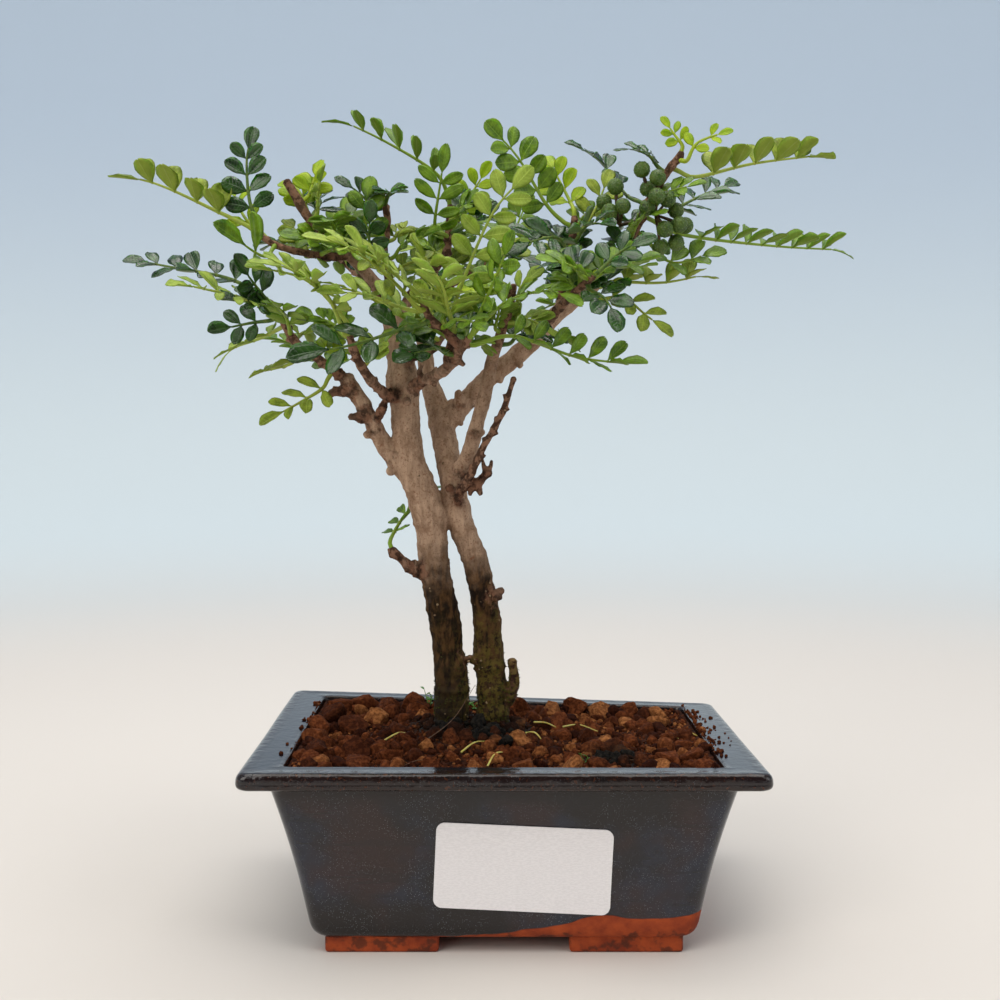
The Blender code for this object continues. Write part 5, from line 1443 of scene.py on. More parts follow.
def build_small_granules(settings):
    """Medium and small clay granules all over, fewer on the fine dark soil at the right and on the mound."""
    clay = clay_material(settings)

    def granule_cover(point):
        fine_right = clamp01((point.x - 40 * MM) / (20 * MM)) * clamp01((point.y + 20 * MM) / (30 * MM))
        away = (point.xy - MOUND_CENTRE).length
        return clamp01((away - 9 * MM) / (9 * MM)) * (1 - 0.75 * fine_right)

    scatter_over(
        soil_sheet(), granule_cover, "small_granules", originals("lump", 8, make_lump, 70, 2), "akadama",
        Material=clay, Spacing=settings.granule_spacing, Most_per_Area=6e4, Smallest=1.1 * MM,
        Largest=settings.granule_size, Sink=-0.12, Seed=settings.seed,
    )
    scatter_over(
        soil_sheet(), lambda point: 1.0, "soil_crumbs", originals("crumb", 6, make_lump, 90, 1, 4, 0.1),
        "akadama", Material=clay, Spacing=1.15 * MM, Most_per_Area=6e5, Smallest=0.35 * MM, Largest=1.0 * MM,
        Sink=-0.25, Seed=settings.seed + 20,
    )


def build_litter():
    """Fine yellow and dark rootlets on the soil, and tiny seedlings."""
    blades = blade_originals()
    for kind, (shade, light, width, roots) in ROOTLETS.items():
        material = stalk_material("rootlet " + kind, shade, light)
        sprig = Sprig()
        for points in roots:
            places = smooth_path([on_soil(x * MM, y * MM, lift * MM) for x, y, lift in points])
            sprig.stalk(places, [width * (1 - 0.6 * i / len(places)) for i in range(len(places))])
        finish_piece(sprig.grow("rootlets_" + kind, blades, material, material, 6))
    draw = random.Random(3)
    sprig = Sprig()
    for x, y, tall in SEEDLINGS:
        root = on_soil(x * MM, y * MM, -0.5 * MM)
        for stem in range(3):
            lean = Vector((draw.uniform(-0.5, 0.5), draw.uniform(-0.4, 0.4), 1)).normalized()
            top = root + lean * tall * MM * (1 - 0.22 * stem)
            sprig.stalk([root, (root + top) / 2, top], [0.2 * MM, 0.18 * MM, 0.1 * MM])
            for turn in range(3):
                angle = draw.uniform(0, math.tau)
                along = Vector((math.cos(angle), math.sin(angle), draw.uniform(0.1, 0.7))).normalized()
                across = along.cross(Vector((0, 0, 1))).normalized()
                size = draw.uniform(1.6, 2.6) * MM
                at = root.lerp(top, 1 - 0.28 * turn)
                shape = (0.5 * size, size, size)
                sprig.carry(at, across, along, across.cross(along), shape, turn, draw.random())
    green = stalk_material("seedling stalk", (0.10, 0.22, 0.04), (0.18, 0.34, 0.06))
    leaf = leaf_material("seedling leaf", (0.05, 0.16, 0.03), (0.10, 0.27, 0.05), 0.45)
    finish_piece(sprig.grow("seedlings", blades, green, leaf, 6))
    drop_originals(blades)


def smooth_path(points, steps=PATH_STEPS):
    """Points along a smooth curve through the given ones."""
    ends = [2 * points[0] - points[1], *points, 2 * points[-1] - points[-2]]
    path = []
    for a, b, c, d in zip(ends, ends[1:], ends[2:], ends[3:]):
        for step in range(steps):
            t = step / steps
            square = (2 * a - 5 * b + 4 * c - d) * t**2
            cube = (3 * b - a - 3 * c + d) * t**3
            path.append((2 * b + (c - a) * t + square + cube) / 2)
    return path + [points[-1]]


def limb_path(name):
    """A limb as fine points and radii in metres, along a smooth curve through its table row."""
    route = [np.array(place, float) * MM for place in LIMBS[name]]
    steps = max(3, round(np.linalg.norm((route[1] - route[0])[:3]) / RING_SPACING))
    return [(Vector(row[:3]), max(row[3], THINNEST_TWIG)) for row in smooth_path(route, steps)]


def tube(bm, path, sides):
    """A round closed tube along points and radii, with rounded ends."""
    places = [place for place, _ in path]
    side = None
    rings = []
    for i, (place, radius) in enumerate(path):
        ahead = (places[min(i + 1, len(places) - 1)] - places[max(i - 1, 0)]).normalized()
        side = (side - ahead * side.dot(ahead) if side else ahead.orthogonal()).normalized()
        up = ahead.cross(side)
        spokes = [x * side + y * up for x, y in circle(sides)]
        if i == 0:
            rings.append([place - ahead * radius * 0.5 + spoke * radius * 0.5 for spoke in spokes])
        rings.append([place + spoke * radius for spoke in spokes])
    rings.append([place + ahead * radius * 0.45 + spoke * radius * 0.6 for spoke in spokes])
    loft(bm, rings)


def ball(bm, place, radius):
    """A small round swelling."""
    bmesh.ops.create_icosphere(bm, subdivisions=2, radius=radius, matrix=Matrix.Translation(place))


def add_buds(bm, name, path):
    """Small pointed buds and old leaf scars on alternate sides of a twig, and one at its tip."""
    draw = random.Random("buds " + name)
    around = draw.uniform(0, math.tau)
    travelled = 0.0
    for (place, radius), (following, _) in zip(path[2:], path[3:]):
        step = following - place
        travelled += step.length
        if travelled < BUD_PITCH:
            continue
        travelled -= BUD_PITCH * draw.uniform(0.8, 1.25)
        ahead = step.normalized()
        side = ahead.orthogonal().normalized()
        out = side * math.cos(around) + ahead.cross(side) * math.sin(around)
        around += math.pi * draw.uniform(0.8, 1.2)
        size = draw.uniform(*BUD_SIZES)
        ball(bm, place + out * radius * 0.9, size)
        ball(bm, place + out * (radius * 0.9 + size * 0.8) + ahead * size * 0.6, size * 0.6)
    ball(bm, path[-1][0], path[-1][1] * TIP_SWELL)


def limb_sections(name):
    """A limb's path with the leaf scars and swellings that make it knobbly."""
    draw = random.Random("scars " + name)
    path = limb_path(name)
    pitch = SCAR_PITCH * draw.uniform(0.8, 1.2)
    phase = draw.uniform(0, pitch)
    travelled = 0.0
    rows = []
    last = path[0][0]
    swell = 0.20 if max(radius for _, radius in path) < 2.4 * MM else 0.06
    for place, radius in path:
        travelled += (place - last).length
        last = place
        beat = ((travelled + phase) % pitch) / pitch
        ring = math.exp(-(((beat - 0.5) / 0.13) ** 2))
        rows.append((place, radius * (1 + swell * ring) + draw.uniform(-0.03, 0.03) * radius))
    return rows


def seat_on_limb(wood_tree, limb, back, towards):
    """Where a stalk that heads for a point leaves the wood, and the way it leaves, as in the solids."""
    route = [Vector(place[:3]) * MM for place in LIMBS[limb]]
    centre, inward = at_length(route[::-1], back * MM)
    out = (towards - centre).normalized()
    if back > 0:
        along = inward * out.dot(inward)
        out = (LEAVING_SIDE * (out - along).normalized() + LEAVING_ALONG * along).normalized()
    else:
        out = (out - inward).normalized()
    hit = wood_tree.ray_cast(centre + out * OUTSIDE_WOOD, -out)[0]
    return hit + out * SEAT_GAP, out


def at_length(path, distance):
    """The point a given distance along a path, and the path's direction there."""
    for start, end in zip(path, path[1:]):
        step = (end - start).length
        if distance <= step or end is path[-1]:
            return start + (end - start) * (distance / step), (end - start).normalized()
        distance -= step


def solid_wood_tree():
    """The wood's solid, for finding where stalks leave it."""
    mesh = frame["nodes"]["tree_wood"].data
    corners = [vert.co for vert in mesh.vertices]
    return BVHTree.FromPolygons(corners, [face.vertices for face in mesh.polygons])


def build_wood(settings):
    """The wood in one skin: limbs, junctions, buds and leaf scars, with bark relief."""
    bm = bmesh.new()
    samples = []
    for name in LIMBS:
        path = limb_sections(name)
        thickest = max(radius for _, radius in path)
        tube(bm, path, 24 if thickest > 4 * MM else 14)
        samples.extend(path)
        if name not in TRUNKS:
            start, radius = path[min(3, len(path) - 1)]
            ball(bm, start, radius * JUNCTION_SWELL)
            draw = random.Random("knobs " + name)
            for _ in range(KNOBS):
                away = any_way(draw).normalized() * radius * draw.uniform(0.8, 1.3)
                ball(bm, start + away, draw.uniform(*KNOB_SIZES) * radius)
        if thickest < BUDDED_GIRTH:
            add_buds(bm, name, path)
    for prong in PRONGS:
        tube(bm, [(Vector(place) * MM, radius * MM) for *place, radius in prong], 10)
    solid_tree = solid_wood_tree()
    for limb, back, route, *_ in FRONDS.values():
        root, out = seat_on_limb(solid_tree, limb, back, Vector(route[0]) * MM)
        ball(bm, root - out * BUD_RADIUS, BUD_RADIUS)
    wood = object_from_bmesh("bark_and_twigs", bm)
    modify(wood, "REMESH", mode="VOXEL", voxel_size=WOOD_VOXEL)
    modify(wood, "SMOOTH", factor=0.5, iterations=2)
    modify(wood, "DECIMATE", ratio=WOOD_KEPT)
    mark_wood(wood.data, samples)
    run_tree(
        wood, "Bark Relief", Material=bark_material(settings), Furrows=settings.furrow_depth,
        Lumps=settings.lump_depth,
    )
    finish_piece(wood, "bark", ["tree_wood"])


def mark_wood(mesh, samples):
    """Stores the girth of the limb at each vertex, the rough brown junctions and the pale pruned ends."""
    centres = kd_tree([place for place, _ in samples])
    branches = [LIMBS[name][1] for name in LIMBS if name not in TRUNKS]
    joints = [(Vector(place) * MM, THIN_KNOT if radius < 2.4 else THICK_KNOT) for *place, radius in branches]
    joints += [(Vector(prong[0][:3]) * MM, PRONG_KNOT) for prong in PRONGS]
    cuts = [Vector(LIMBS[name][-1][:3]) * MM for name in CUT_LIMBS]
    rows = []
    for vert in mesh.vertices:
        near = centres.find_n(vert.co, 14)
        held = [samples[i][1] for _, i, away in near if away < 1.3 * samples[i][1] + 0.3 * MM]
        joint = min((vert.co - joint).length / reach for joint, reach in joints)
        cut = min((vert.co - cut).length for cut in cuts) / CUT_REACH
        rows.append((max(held, default=samples[near[0][1]][1]), math.exp(-(joint**2)), math.exp(-(cut**2))))
    for label, numbers in zip(("girth", "knot", "cut"), zip(*rows)):
        set_numbers(mesh, label, numbers)


def bark_material(settings):
    """Grey-tan bark above, dark and damp below, red-brown twigs and junctions, green where moss grows."""
    bark = Finish("bark", settings, Specular_IOR_Level=0.15)
    place = bark.place
    x, _, z = place.parts()

    def ragged(value, start, end, scale, wander):
        return place.pattern("Ragged Fade", Value=value, From=start, To=end, Scale=scale, Wander=wander)

    drawn = place.stretched(1, 1, 0.3)
    grain = bark.mottle(560, "bark_shade", "bark_light", 0.36, 6, drawn)
    specks = place.noise(1500, 3, 0.7)
    bark.over(specks.fade(0.52, 0.66, 0, 0.6), "bark_patch")
    bark.over(place.noise(120, 6, 0.65).fade(0.52, 0.64, 0, 0.5), "bark_patch")
    bark.over(specks.fade(0.42, 0.30, 0, 0.4), "lenticel_color")
    bark.mottle(430, "base_dark", "base_light", 0.8, 6, drawn, ragged(z, 122 * MM, 96 * MM, 90, 42 * MM))
    thin = bark.mark("girth").fade(1.4 * MM, 2.5 * MM, 0.9, 0)
    bark.mottle(520, "twig_dark", "twig_light", 0.9, 5, share=thin)
    knot = ragged(bark.mark("knot"), 0.30, 0.75, 420, 1.3)
    bark.mottle(430, "knot_color", "knot_light", 0.8, 6, share=knot * 0.85)
    rust = place.noise(520, 5, 0.7).fade(0.60, 0.66, 0, 0.7) * place.noise(45, 1).fade(0.45, 0.60)
    bark.over(rust * z.fade(92 * MM, 108 * MM), "rust_color")
    damp = ragged(z, 82 * MM, 60 * MM, 170, 20 * MM) * x.fade(-14 * MM, -6 * MM, 0.92, 0.55)
    bark.over(damp, (0.010, 0.005, 0.002))
    algae = ragged(z, 104 * MM, 76 * MM, 260, 80 * MM) * x.fade(-18 * MM, -9 * MM, 0.16, 1)
    patches = place.noise(520, 6, 0.75)
    bark.over(algae * patches.fade(0.44, 0.55, 0, settings.moss_amount), "algae_color")
    bark.over(bark.mark("cut") * 0.9, "cut_color")
    spots = place.pattern("Speckle", Scale=420, Size=0.20, Share=0.22)
    spots = spots * place.noise(110, 1).fade(0.50, 0.62, 0, 0.8)
    bark.over(spots, "lenticel_color")
    height = grain * 0.5 + drawn.noise(1700, 5, 0.7) * 0.4 + spots * 0.5 + knot * patches * 2
    return bark.done(height, 0.5 * MM, Roughness=0.88 - damp * 0.25)


def make_tuft(name, i):
    """A tiny cushion of moss: short pointed shoots from one spot, 1 unit high."""
    draw = random.Random(i)
    bm = bmesh.new()
    for _ in range(6):
        lean = Vector((draw.uniform(-0.7, 0.7), draw.uniform(-0.7, 0.7), 1)).normalized()
        side = lean.orthogonal().normalized()
        foot = Vector((draw.uniform(-0.35, 0.35), draw.uniform(-0.35, 0.35), -0.25))
        ring = [bm.verts.new(foot + 0.16 * (x * side + y * lean.cross(side))) for x, y in circle(3)]
        tip = bm.verts.new(foot + lean * draw.uniform(0.8, 1.25))
        for k in range(3):
            bm.faces.new((ring[k], ring[(k + 1) % 3], tip))
        bm.faces.new(ring[::-1])
    return object_from_bmesh(name, bm)


def build_moss(settings):
    """Moss cushions low on the trunks, and raised corky spots on the bark."""
    wood = bpy.data.objects["bark_and_twigs"].data
    moss = Finish("moss", settings, Roughness=0.9)
    moss.mottle(420, "moss_dark", "moss_light", 0.7)
    cork = Finish("corky spots", settings, Roughness=0.8)
    cork.mottle(600, "cork_dark", "lenticel_color", 0.7)

    def moss_cover(point):
        height = clamp01((84 * MM - point.z) / (26 * MM)) if point.z > 52 * MM else 0
        patch = noise.fractal(point * 190, 0.7, 2.0, 3)
        return height * (1 if point.x > -21 * MM else 0.35) * clamp01((patch + 0.05) * 3.5)

    def cork_cover(point):
        high = clamp01((150 * MM - point.z) / (50 * MM)) if point.z > 56 * MM else 0
        cluster = clamp01(4 * noise.noise(point * 130 + Vector((3, 1, 5))) - 0.25)
        return high * cluster * (1 if point.x > -13 * MM else 0.45)

    scatter_over(
        make_object("skin", wood.copy()), moss_cover, "moss_on_trunks", originals("tuft", 5, make_tuft),
        Material=moss.done(), Spacing=0.45 * MM, Most_per_Area=2.4e6, Smallest=0.35 * MM, Largest=0.95 * MM,
        Tumble=0.08, Sink=0.0, Seed=5,
    )
    scatter_over(
        make_object("skin", wood.copy()), cork_cover, "corky_spots",
        originals("spot", 4, make_lump, 130, 2, 3), "bark", Material=cork.done(), Spacing=1.3 * MM,
        Most_per_Area=1.5e5, Smallest=0.18 * MM, Largest=0.52 * MM, Tumble=0.1, Sink=0.35, Flatten=0.7,
        Seed=9,
    )


def make_blade(name, i):
    """A leaflet 1 unit long and 1 unit wide with a notched tip: two sheets that meet along its edge."""
    cup, droop, twist, wave = BLADE_FORMS[i]
    last = len(BLADE_OUTLINE) - 1
    bm = bmesh.new()
    veins = bm.loops.layers.uv.new("leaf")
    under = bm.verts.layers.float.new("under")
    maps = {}
    upper, lower = [], []
    for row, (along, half) in enumerate(BLADE_OUTLINE):
        top, beneath = [], []
        for share in BLADE_COLUMNS:
            x = share * half * (1 + CRENATION * (row % 2))
            z = cup * abs(share) ** 1.6 * half - droop * along**2 + twist * x * along
            z += wave * abs(share) * math.sin(5 * math.pi * along + 2 * share)
            z -= RIB_GROOVE * (share == 0) * math.sin(math.pi * min(along + 0.1, 1))
            vert = bm.verts.new((x, along - (TIP_NOTCH if row == last and share == 0 else 0), z))
            maps[vert] = ((share + 1) / 2, along)
            top.append(vert)
            if 0 < row < last and abs(share) < 1:
                copy = bm.verts.new(vert.co - Vector((0, 0, BLADE_THICKNESS)))
                copy[under] = 1
                maps[copy] = maps[vert]
                vert = copy
            beneath.append(vert)
        upper.append(top)
        lower.append(beneath)
    for sheet in (upper, lower):
        for first, second in zip(sheet, sheet[1:]):
            for k in range(len(BLADE_COLUMNS) - 1):
                bm.faces.new((first[k], first[k + 1], second[k + 1], second[k]))
    for face in bm.faces:
        for loop in face.loops:
            loop[veins].uv = maps[loop.vert]
    return object_from_bmesh(name, bm)


def blade_originals():
    """Leaflets of a few forms, to be copied along the fronds."""
    return originals("blade", len(BLADE_FORMS), make_blade)


def leaf_material(name, shade, light, roughness, vein=0.35, gloss=0.3):
    """A leaf: mottled green with pale veins, oil dots and a dark edge, and a paler dull underside."""
    leaf = Finish(
        name, Subsurface_Weight=0.25, Subsurface_Scale=0.6 * MM, Subsurface_Radius=(0.55, 1, 0.25),
        Specular_IOR_Level=gloss,
    )
    tone = leaf.mark("tone")
    blotch = leaf.mottle(240, shade, light, 0.7)
    leaf.over(tone * 0.45, light)
    leaf_map = leaf.place.add("ShaderNodeUVMap", uv_map="leaf")
    marks = leaf_map.pattern("Leaf Veins", Pairs=8, Width=0.13)
    pale = tuple(min(1.0, 1.55 * part + 0.02) for part in light)
    leaf.over(marks["Veins"] * (vein * 0.6), pale)
    leaf.over(marks["Rib"] * vein, pale)
    edge = marks["Edge"] * 0.5
    rim = blend(shade, BLACK, 0.45)
    leaf.over(edge, rim)
    leaf.over(leaf_map.pattern("Speckle", Scale=16, Size=0.22, Share=0.5) * 0.22, pale)
    leaf.over((leaf.place.noise(330) * tone).fade(0.60, 0.70, 0, 0.7), (0.16, 0.085, 0.025))
    green = leaf.color
    leaf.color = blend(light, (0.15, 0.21, 0.03), 0.45)
    leaf.over(marks["Rib"] * 0.6, (0.30, 0.36, 0.08))
    leaf.over(blotch * 0.3, shade)
    leaf.over(edge, rim)
    under = leaf.mark("under")
    leaf.color = under.mix(green, leaf.color)
    rough = under * 0.25 + roughness + leaf.place.noise(150, 2).fade(0.35, 0.7, -0.06, 0.10)
    height = leaf.place.noise(900, 2) * 0.35 - marks["Rib"] * 0.8 - marks["Veins"] * 0.5
    return leaf.done(height, 0.09 * MM, Roughness=rough)


def stalk_material(name, shade, light):
    """A fine stalk or rachis, darker in patches and at its nodes."""
    stalk = Finish(name, Roughness=0.5, Subsurface_Weight=0.2, Subsurface_Scale=0.4 * MM)
    value = stalk.mottle(520, shade, light)
    stalk.over(stalk.mark("tone").fade(0.85, 1, 0, 0.6), (0.10, 0.035, 0.015))
    return stalk.done(value, 0.08 * MM)


class Frond:
    """One pinnate leaf on a given path: a fine rachis with leaflets of several forms in pairs."""

    def __init__(self, name, row, wood_tree):
        limb, back, route, pairs, length, face, self.green = row
        self.name = name
        self.draw = random.Random(name)
        self.length = length * MM
        self.face = Vector(face).normalized()
        self.fold = CLOSED_FOLDS.get(name, FOLD)
        self.tone = self.draw.uniform(0.0, 0.55)
        self.stretch = SLENDER_LENGTH if name in SLENDER else 1
        self.breadth = self.draw.uniform(*BREADTHS) * (SLENDER_BREADTH if name in SLENDER else 1)
        self.breadth *= ROUND_BREADTH if name in ROUND else 1
        self.root, self.out = seat_on_limb(wood_tree, limb, back, Vector(route[0]) * MM)
        points = [Vector(place) * MM for place in route]
        self.path = smooth_path([self.root, self.root + self.out * LEAD_IN, *points])
        self.rachis = sum((b - a).length for a, b in zip(self.path, self.path[1:])) - self.length
        first = self.rachis * (FIRST_PAIR if pairs > 2 else FIRST_OF_FEW)
        last = self.rachis - LAST_PAIR * self.length
        if pairs > 1:
            room = (last - first) / (PAIR_SPACING * LEAFLET_WIDTH * self.length)
            pairs = max(pairs, math.floor(room) + 1)
        gaps = max(pairs - 1, 1)
        self.stations = [last + (first - last) * (pairs - 1 - i) / gaps for i in range(pairs)]
        self.sprig = Sprig()

    def leaflet(self, distance, angle, side_sign, size):
        """A leaflet that leaves one side of the rachis at an angle, or ends it at an angle of 0."""
        draw = self.draw
        place, forward = at_length(self.path, distance)
        side = self.face.cross(forward).normalized()
        up = forward.cross(side)
        turn = math.radians(angle + draw.uniform(-TURN_VARIES, TURN_VARIES) * (angle > 0))
        fold = math.radians(self.fold + draw.uniform(-FOLD_VARIES, FOLD_VARIES)) if angle else 0
        tilt = math.radians(draw.uniform(-TILT_VARIES, TILT_VARIES))
        outward = side_sign * side * math.cos(fold) + up * math.sin(fold)
        along = forward * math.cos(turn) + outward * math.sin(turn)
        across = (forward * math.sin(turn) - outward * math.cos(turn)) * side_sign
        across = across * math.cos(tilt) + across.cross(along) * math.sin(tilt)
        broad = LEAFLET_WIDTH * size * self.breadth * draw.uniform(0.88, 1.08)
        foot = place + side * side_sign * (RACHIS_TIP if angle else 0)
        tone = clamp01(self.tone + draw.uniform(0, 0.45))
        form = draw.randrange(len(BLADE_FORMS))
        shape = (broad, size * self.stretch, size)
        self.sprig.carry(foot, across, along, across.cross(along), shape, form, tone)

    def rachis_stalk(self):
        """The rachis: thick at its foot inside the wood, thin at its tip, swollen at each pair."""
        even = [self.rachis * i / RACHIS_STEPS for i in range(RACHIS_STEPS + 1)]
        beside = [station + offset for station in self.stations for offset in (-NODE_REACH, NODE_REACH)]
        places, radii, tones = [self.root - self.out * STALK_SUNK], [RACHIS_BASE], [1.0]
        for distance in sorted({*even, *self.stations, *beside}):
            thin = RACHIS_BASE + (RACHIS_TIP - RACHIS_BASE) * clamp01(distance / self.rachis) ** 0.8
            places.append(at_length(self.path, distance)[0])
            radii.append(thin * (NODE_SWELL if distance in self.stations else 1))
            tones.append(1.0 if distance in self.stations else 0.4)
        self.sprig.stalk(places, radii, tones)

    def grow(self, blades, stalk, leaf):
        """The finished frond, its leaflets smallest near the foot and at the tip."""
        last = max(len(self.stations) - 1, 1)
        for i, distance in enumerate(self.stations):
            share = i / last
            size = self.length * (0.86 + 0.14 * math.sin(math.pi * (0.2 + 0.7 * share)))
            size *= self.draw.uniform(0.93, 1.07)
            for side_sign in (1, -1):
                self.leaflet(distance, BASE_ANGLE + (TIP_ANGLE - BASE_ANGLE) * share, side_sign, size)
        self.leaflet(self.rachis, 0, 1, self.length)
        self.rachis_stalk()
        return self.sprig.grow("leaf_" + self.name, blades, stalk, leaf)


def filler_row(limb, back, wood_tree, near_leaf, near_wood, draw):
    """A small frond on a limb, sent the way that has the most room but stays among the others."""
    above = Vector(LIMBS[limb][-1][:3]) * MM + Vector((0, 0, 9 * MM))
    seat = seat_on_limb(wood_tree, limb, back, above)[0]
    tries = []
    for _ in range(FILLER_TRIES):
        around = draw.uniform(0, math.tau)
        rise = math.radians(draw.uniform(*FILLER_RISE))
        ahead = Vector((math.cos(around) * math.cos(rise), math.sin(around) * math.cos(rise), math.sin(rise)))
        length = draw.uniform(*FILLER_REACH)
        droop = Vector((0, 0, -0.22 * length))
        spots = [seat + ahead * length * share + droop * share**2 for share in (0.4, 0.7, 1.0)]
        room = min(near_leaf.find(spot)[2] for spot in spots)
        clear = min(near_wood.find(spot)[2] for spot in spots)
        tries.append((abs(room - FILLER_ROOM) + 2 * max(0, FILLER_CLEAR - clear), spots, ahead))
    _, spots, ahead = min(tries, key=lambda tried: tried[0])
    face = Vector((0, -0.55, 0.8))
    face -= ahead * face.dot(ahead)
    route = [tuple(spots[0] / MM), tuple(spots[2] / MM)]
    green = draw.choices(list(FILLER_GREENS), FILLER_GREENS.values())[0]
    return limb, back, route, draw.choice((2, 3, 3, 4)), draw.uniform(*FILLER_LEAFLET), tuple(face), green


def filler_fronds(fronds, wood_tree):
    """The small fronds between the large ones, each clear of those before it."""
    draw = random.Random(21)
    taken = [point for frond in fronds for point in frond.path[4::3]]
    near_wood = kd_tree([place for name in LIMBS for place, _ in limb_path(name)])
    fillers = []
    for limb, backs in FILLERS.items():
        for i, back in enumerate(backs):
            row = filler_row(limb, back, wood_tree, kd_tree(taken), near_wood, draw)
            frond = Frond("%s_%d" % (limb, i), row, wood_tree)
            taken.extend(frond.path[4::3])
            fillers.append(frond)
    return fillers


def kd_tree(points):
    """A tree for finding the nearest of some points."""
    tree = KDTree(len(points))
    for i, point in enumerate(points):
        tree.insert(point, i)
    tree.balance()
    return tree


def build_fronds(settings):
    """Every frond, in its own green and on its own solid's path, and the small ones between them."""
    wood_tree = solid_wood_tree()
    blades = blade_originals()
    looks = {}
    for green, finish in GREEN_FINISH.items():
        shade, light = (tuple(getattr(settings, green + end))[:3] for end in ("_shade", "_light"))
        stalk = stalk_material("rachis " + green, light, blend(light, RACHIS_COLOR, 0.5))
        looks[green] = (stalk, leaf_material("leaf " + green, shade, light, *finish))
    fronds = [Frond(name, row, wood_tree) for name, row in (FRONDS | EXTRA_FRONDS).items()]
    for frond in fronds + filler_fronds(fronds, wood_tree):
        piece = frond.grow(blades, *looks[frond.green])
        finish_piece(piece, "leaf_" + frond.green, ["frond_" + frond.name] if frond.name in FRONDS else ())
    drop_originals(blades)


def make_berry(name, i, pimple):
    """A berry 1 unit in radius, covered in small oil pimples, with a dark scar at its far pole."""
    bm = bmesh.new()
    scar = bm.verts.layers.float.new("scar")
    pit = bm.verts.layers.float.new("pimple")
    bmesh.ops.create_icosphere(bm, subdivisions=5, radius=1)
    offset = Vector((i * 3.7, i * 1.3, 0))
    for vert in bm.verts:
        raised = clamp01(1.15 - noise.voronoi(vert.co * 5.2 + offset)[0][0] / 0.5)
        vert[pit] = raised
        vert[scar] = math.exp(-((vert.co - Vector((0, 1, 0))).length / 0.13) ** 2)
        vert.co *= 1 + pimple * (raised - 0.5) + 0.02 * noise.noise(vert.co * 1.3 + offset)
    return object_from_bmesh(name, bm)


def build_fruit(settings):
    """Both bunches: pimpled green berries on fine brown stalks, on the places of their solids."""
    wood_tree = solid_wood_tree()
    berries = originals("berry", 3, make_berry, settings.pimple_height)
    skin = berry_material(settings)
    shades = (tuple(getattr(settings, "fruit_stalk_" + end))[:3] for end in ("dark", "light"))
    wood = stalk_material("fruit stalk", *shades)
    for name, (limb, back, hub, centres) in BUNCHES.items():
        hub = Vector(hub) * MM
        root, out = seat_on_limb(wood_tree, limb, back, hub)
        draw = random.Random(name)
        sprig = Sprig()
        stem = [root - out * STALK_SUNK, root, (root + hub) / 2, hub]
        sprig.stalk(stem, [0.85 * MM, 0.75 * MM, 0.62 * MM, 0.6 * MM])
        for centre in centres:
            centre = Vector(centre) * MM
            along = (centre - hub).normalized()
            bend = (hub + centre) / 2 + along.orthogonal() * draw.uniform(-0.6, 0.6) * MM
            path = smooth_path([hub, bend, centre - along * settings.berry_radius * 0.8], 4)
            sprig.stalk(path, [(0.42 + 0.22 * (i == len(path) - 2)) * MM for i in range(len(path))])
            across = along.orthogonal().normalized()
            size = (settings.berry_radius * draw.uniform(0.93, 1.0),) * 3
            sprig.carry(centre, across, along, across.cross(along), size, draw.randrange(3), draw.random())
        bunch = sprig.grow(name.replace("fruit", "berries"), berries, wood, skin)
        finish_piece(bunch, "berry", [name])
    drop_originals(berries)


def berry_material(settings):
    """Unripe fruit skin: dark olive with paler shiny pimples and a brown scar."""
    berry = Finish(
        "berry", settings, Subsurface_Weight=0.15, Subsurface_Scale=1 * MM, Coat_Weight=0.15,
        Coat_Roughness=0.3,
    )
    berry.mottle(330, "berry_dark", "berry_light")
    berry.over(berry.mark("tone") * 0.4, "berry_light")
    raised = berry.mark("pimple")
    pores = berry.place.pattern("Speckle", Scale=1500, Size=0.42, Share=0.75)
    berry.over(raised * 0.35, "pimple_color")
    berry.over(pores * 0.55, "pimple_color")
    berry.over(berry.mark("scar"), (0.02, 0.012, 0.006))
    return berry.done(pores * 0.8 + berry.place.noise(900), 0.22 * MM, Roughness=0.44 - raised * 0.08)


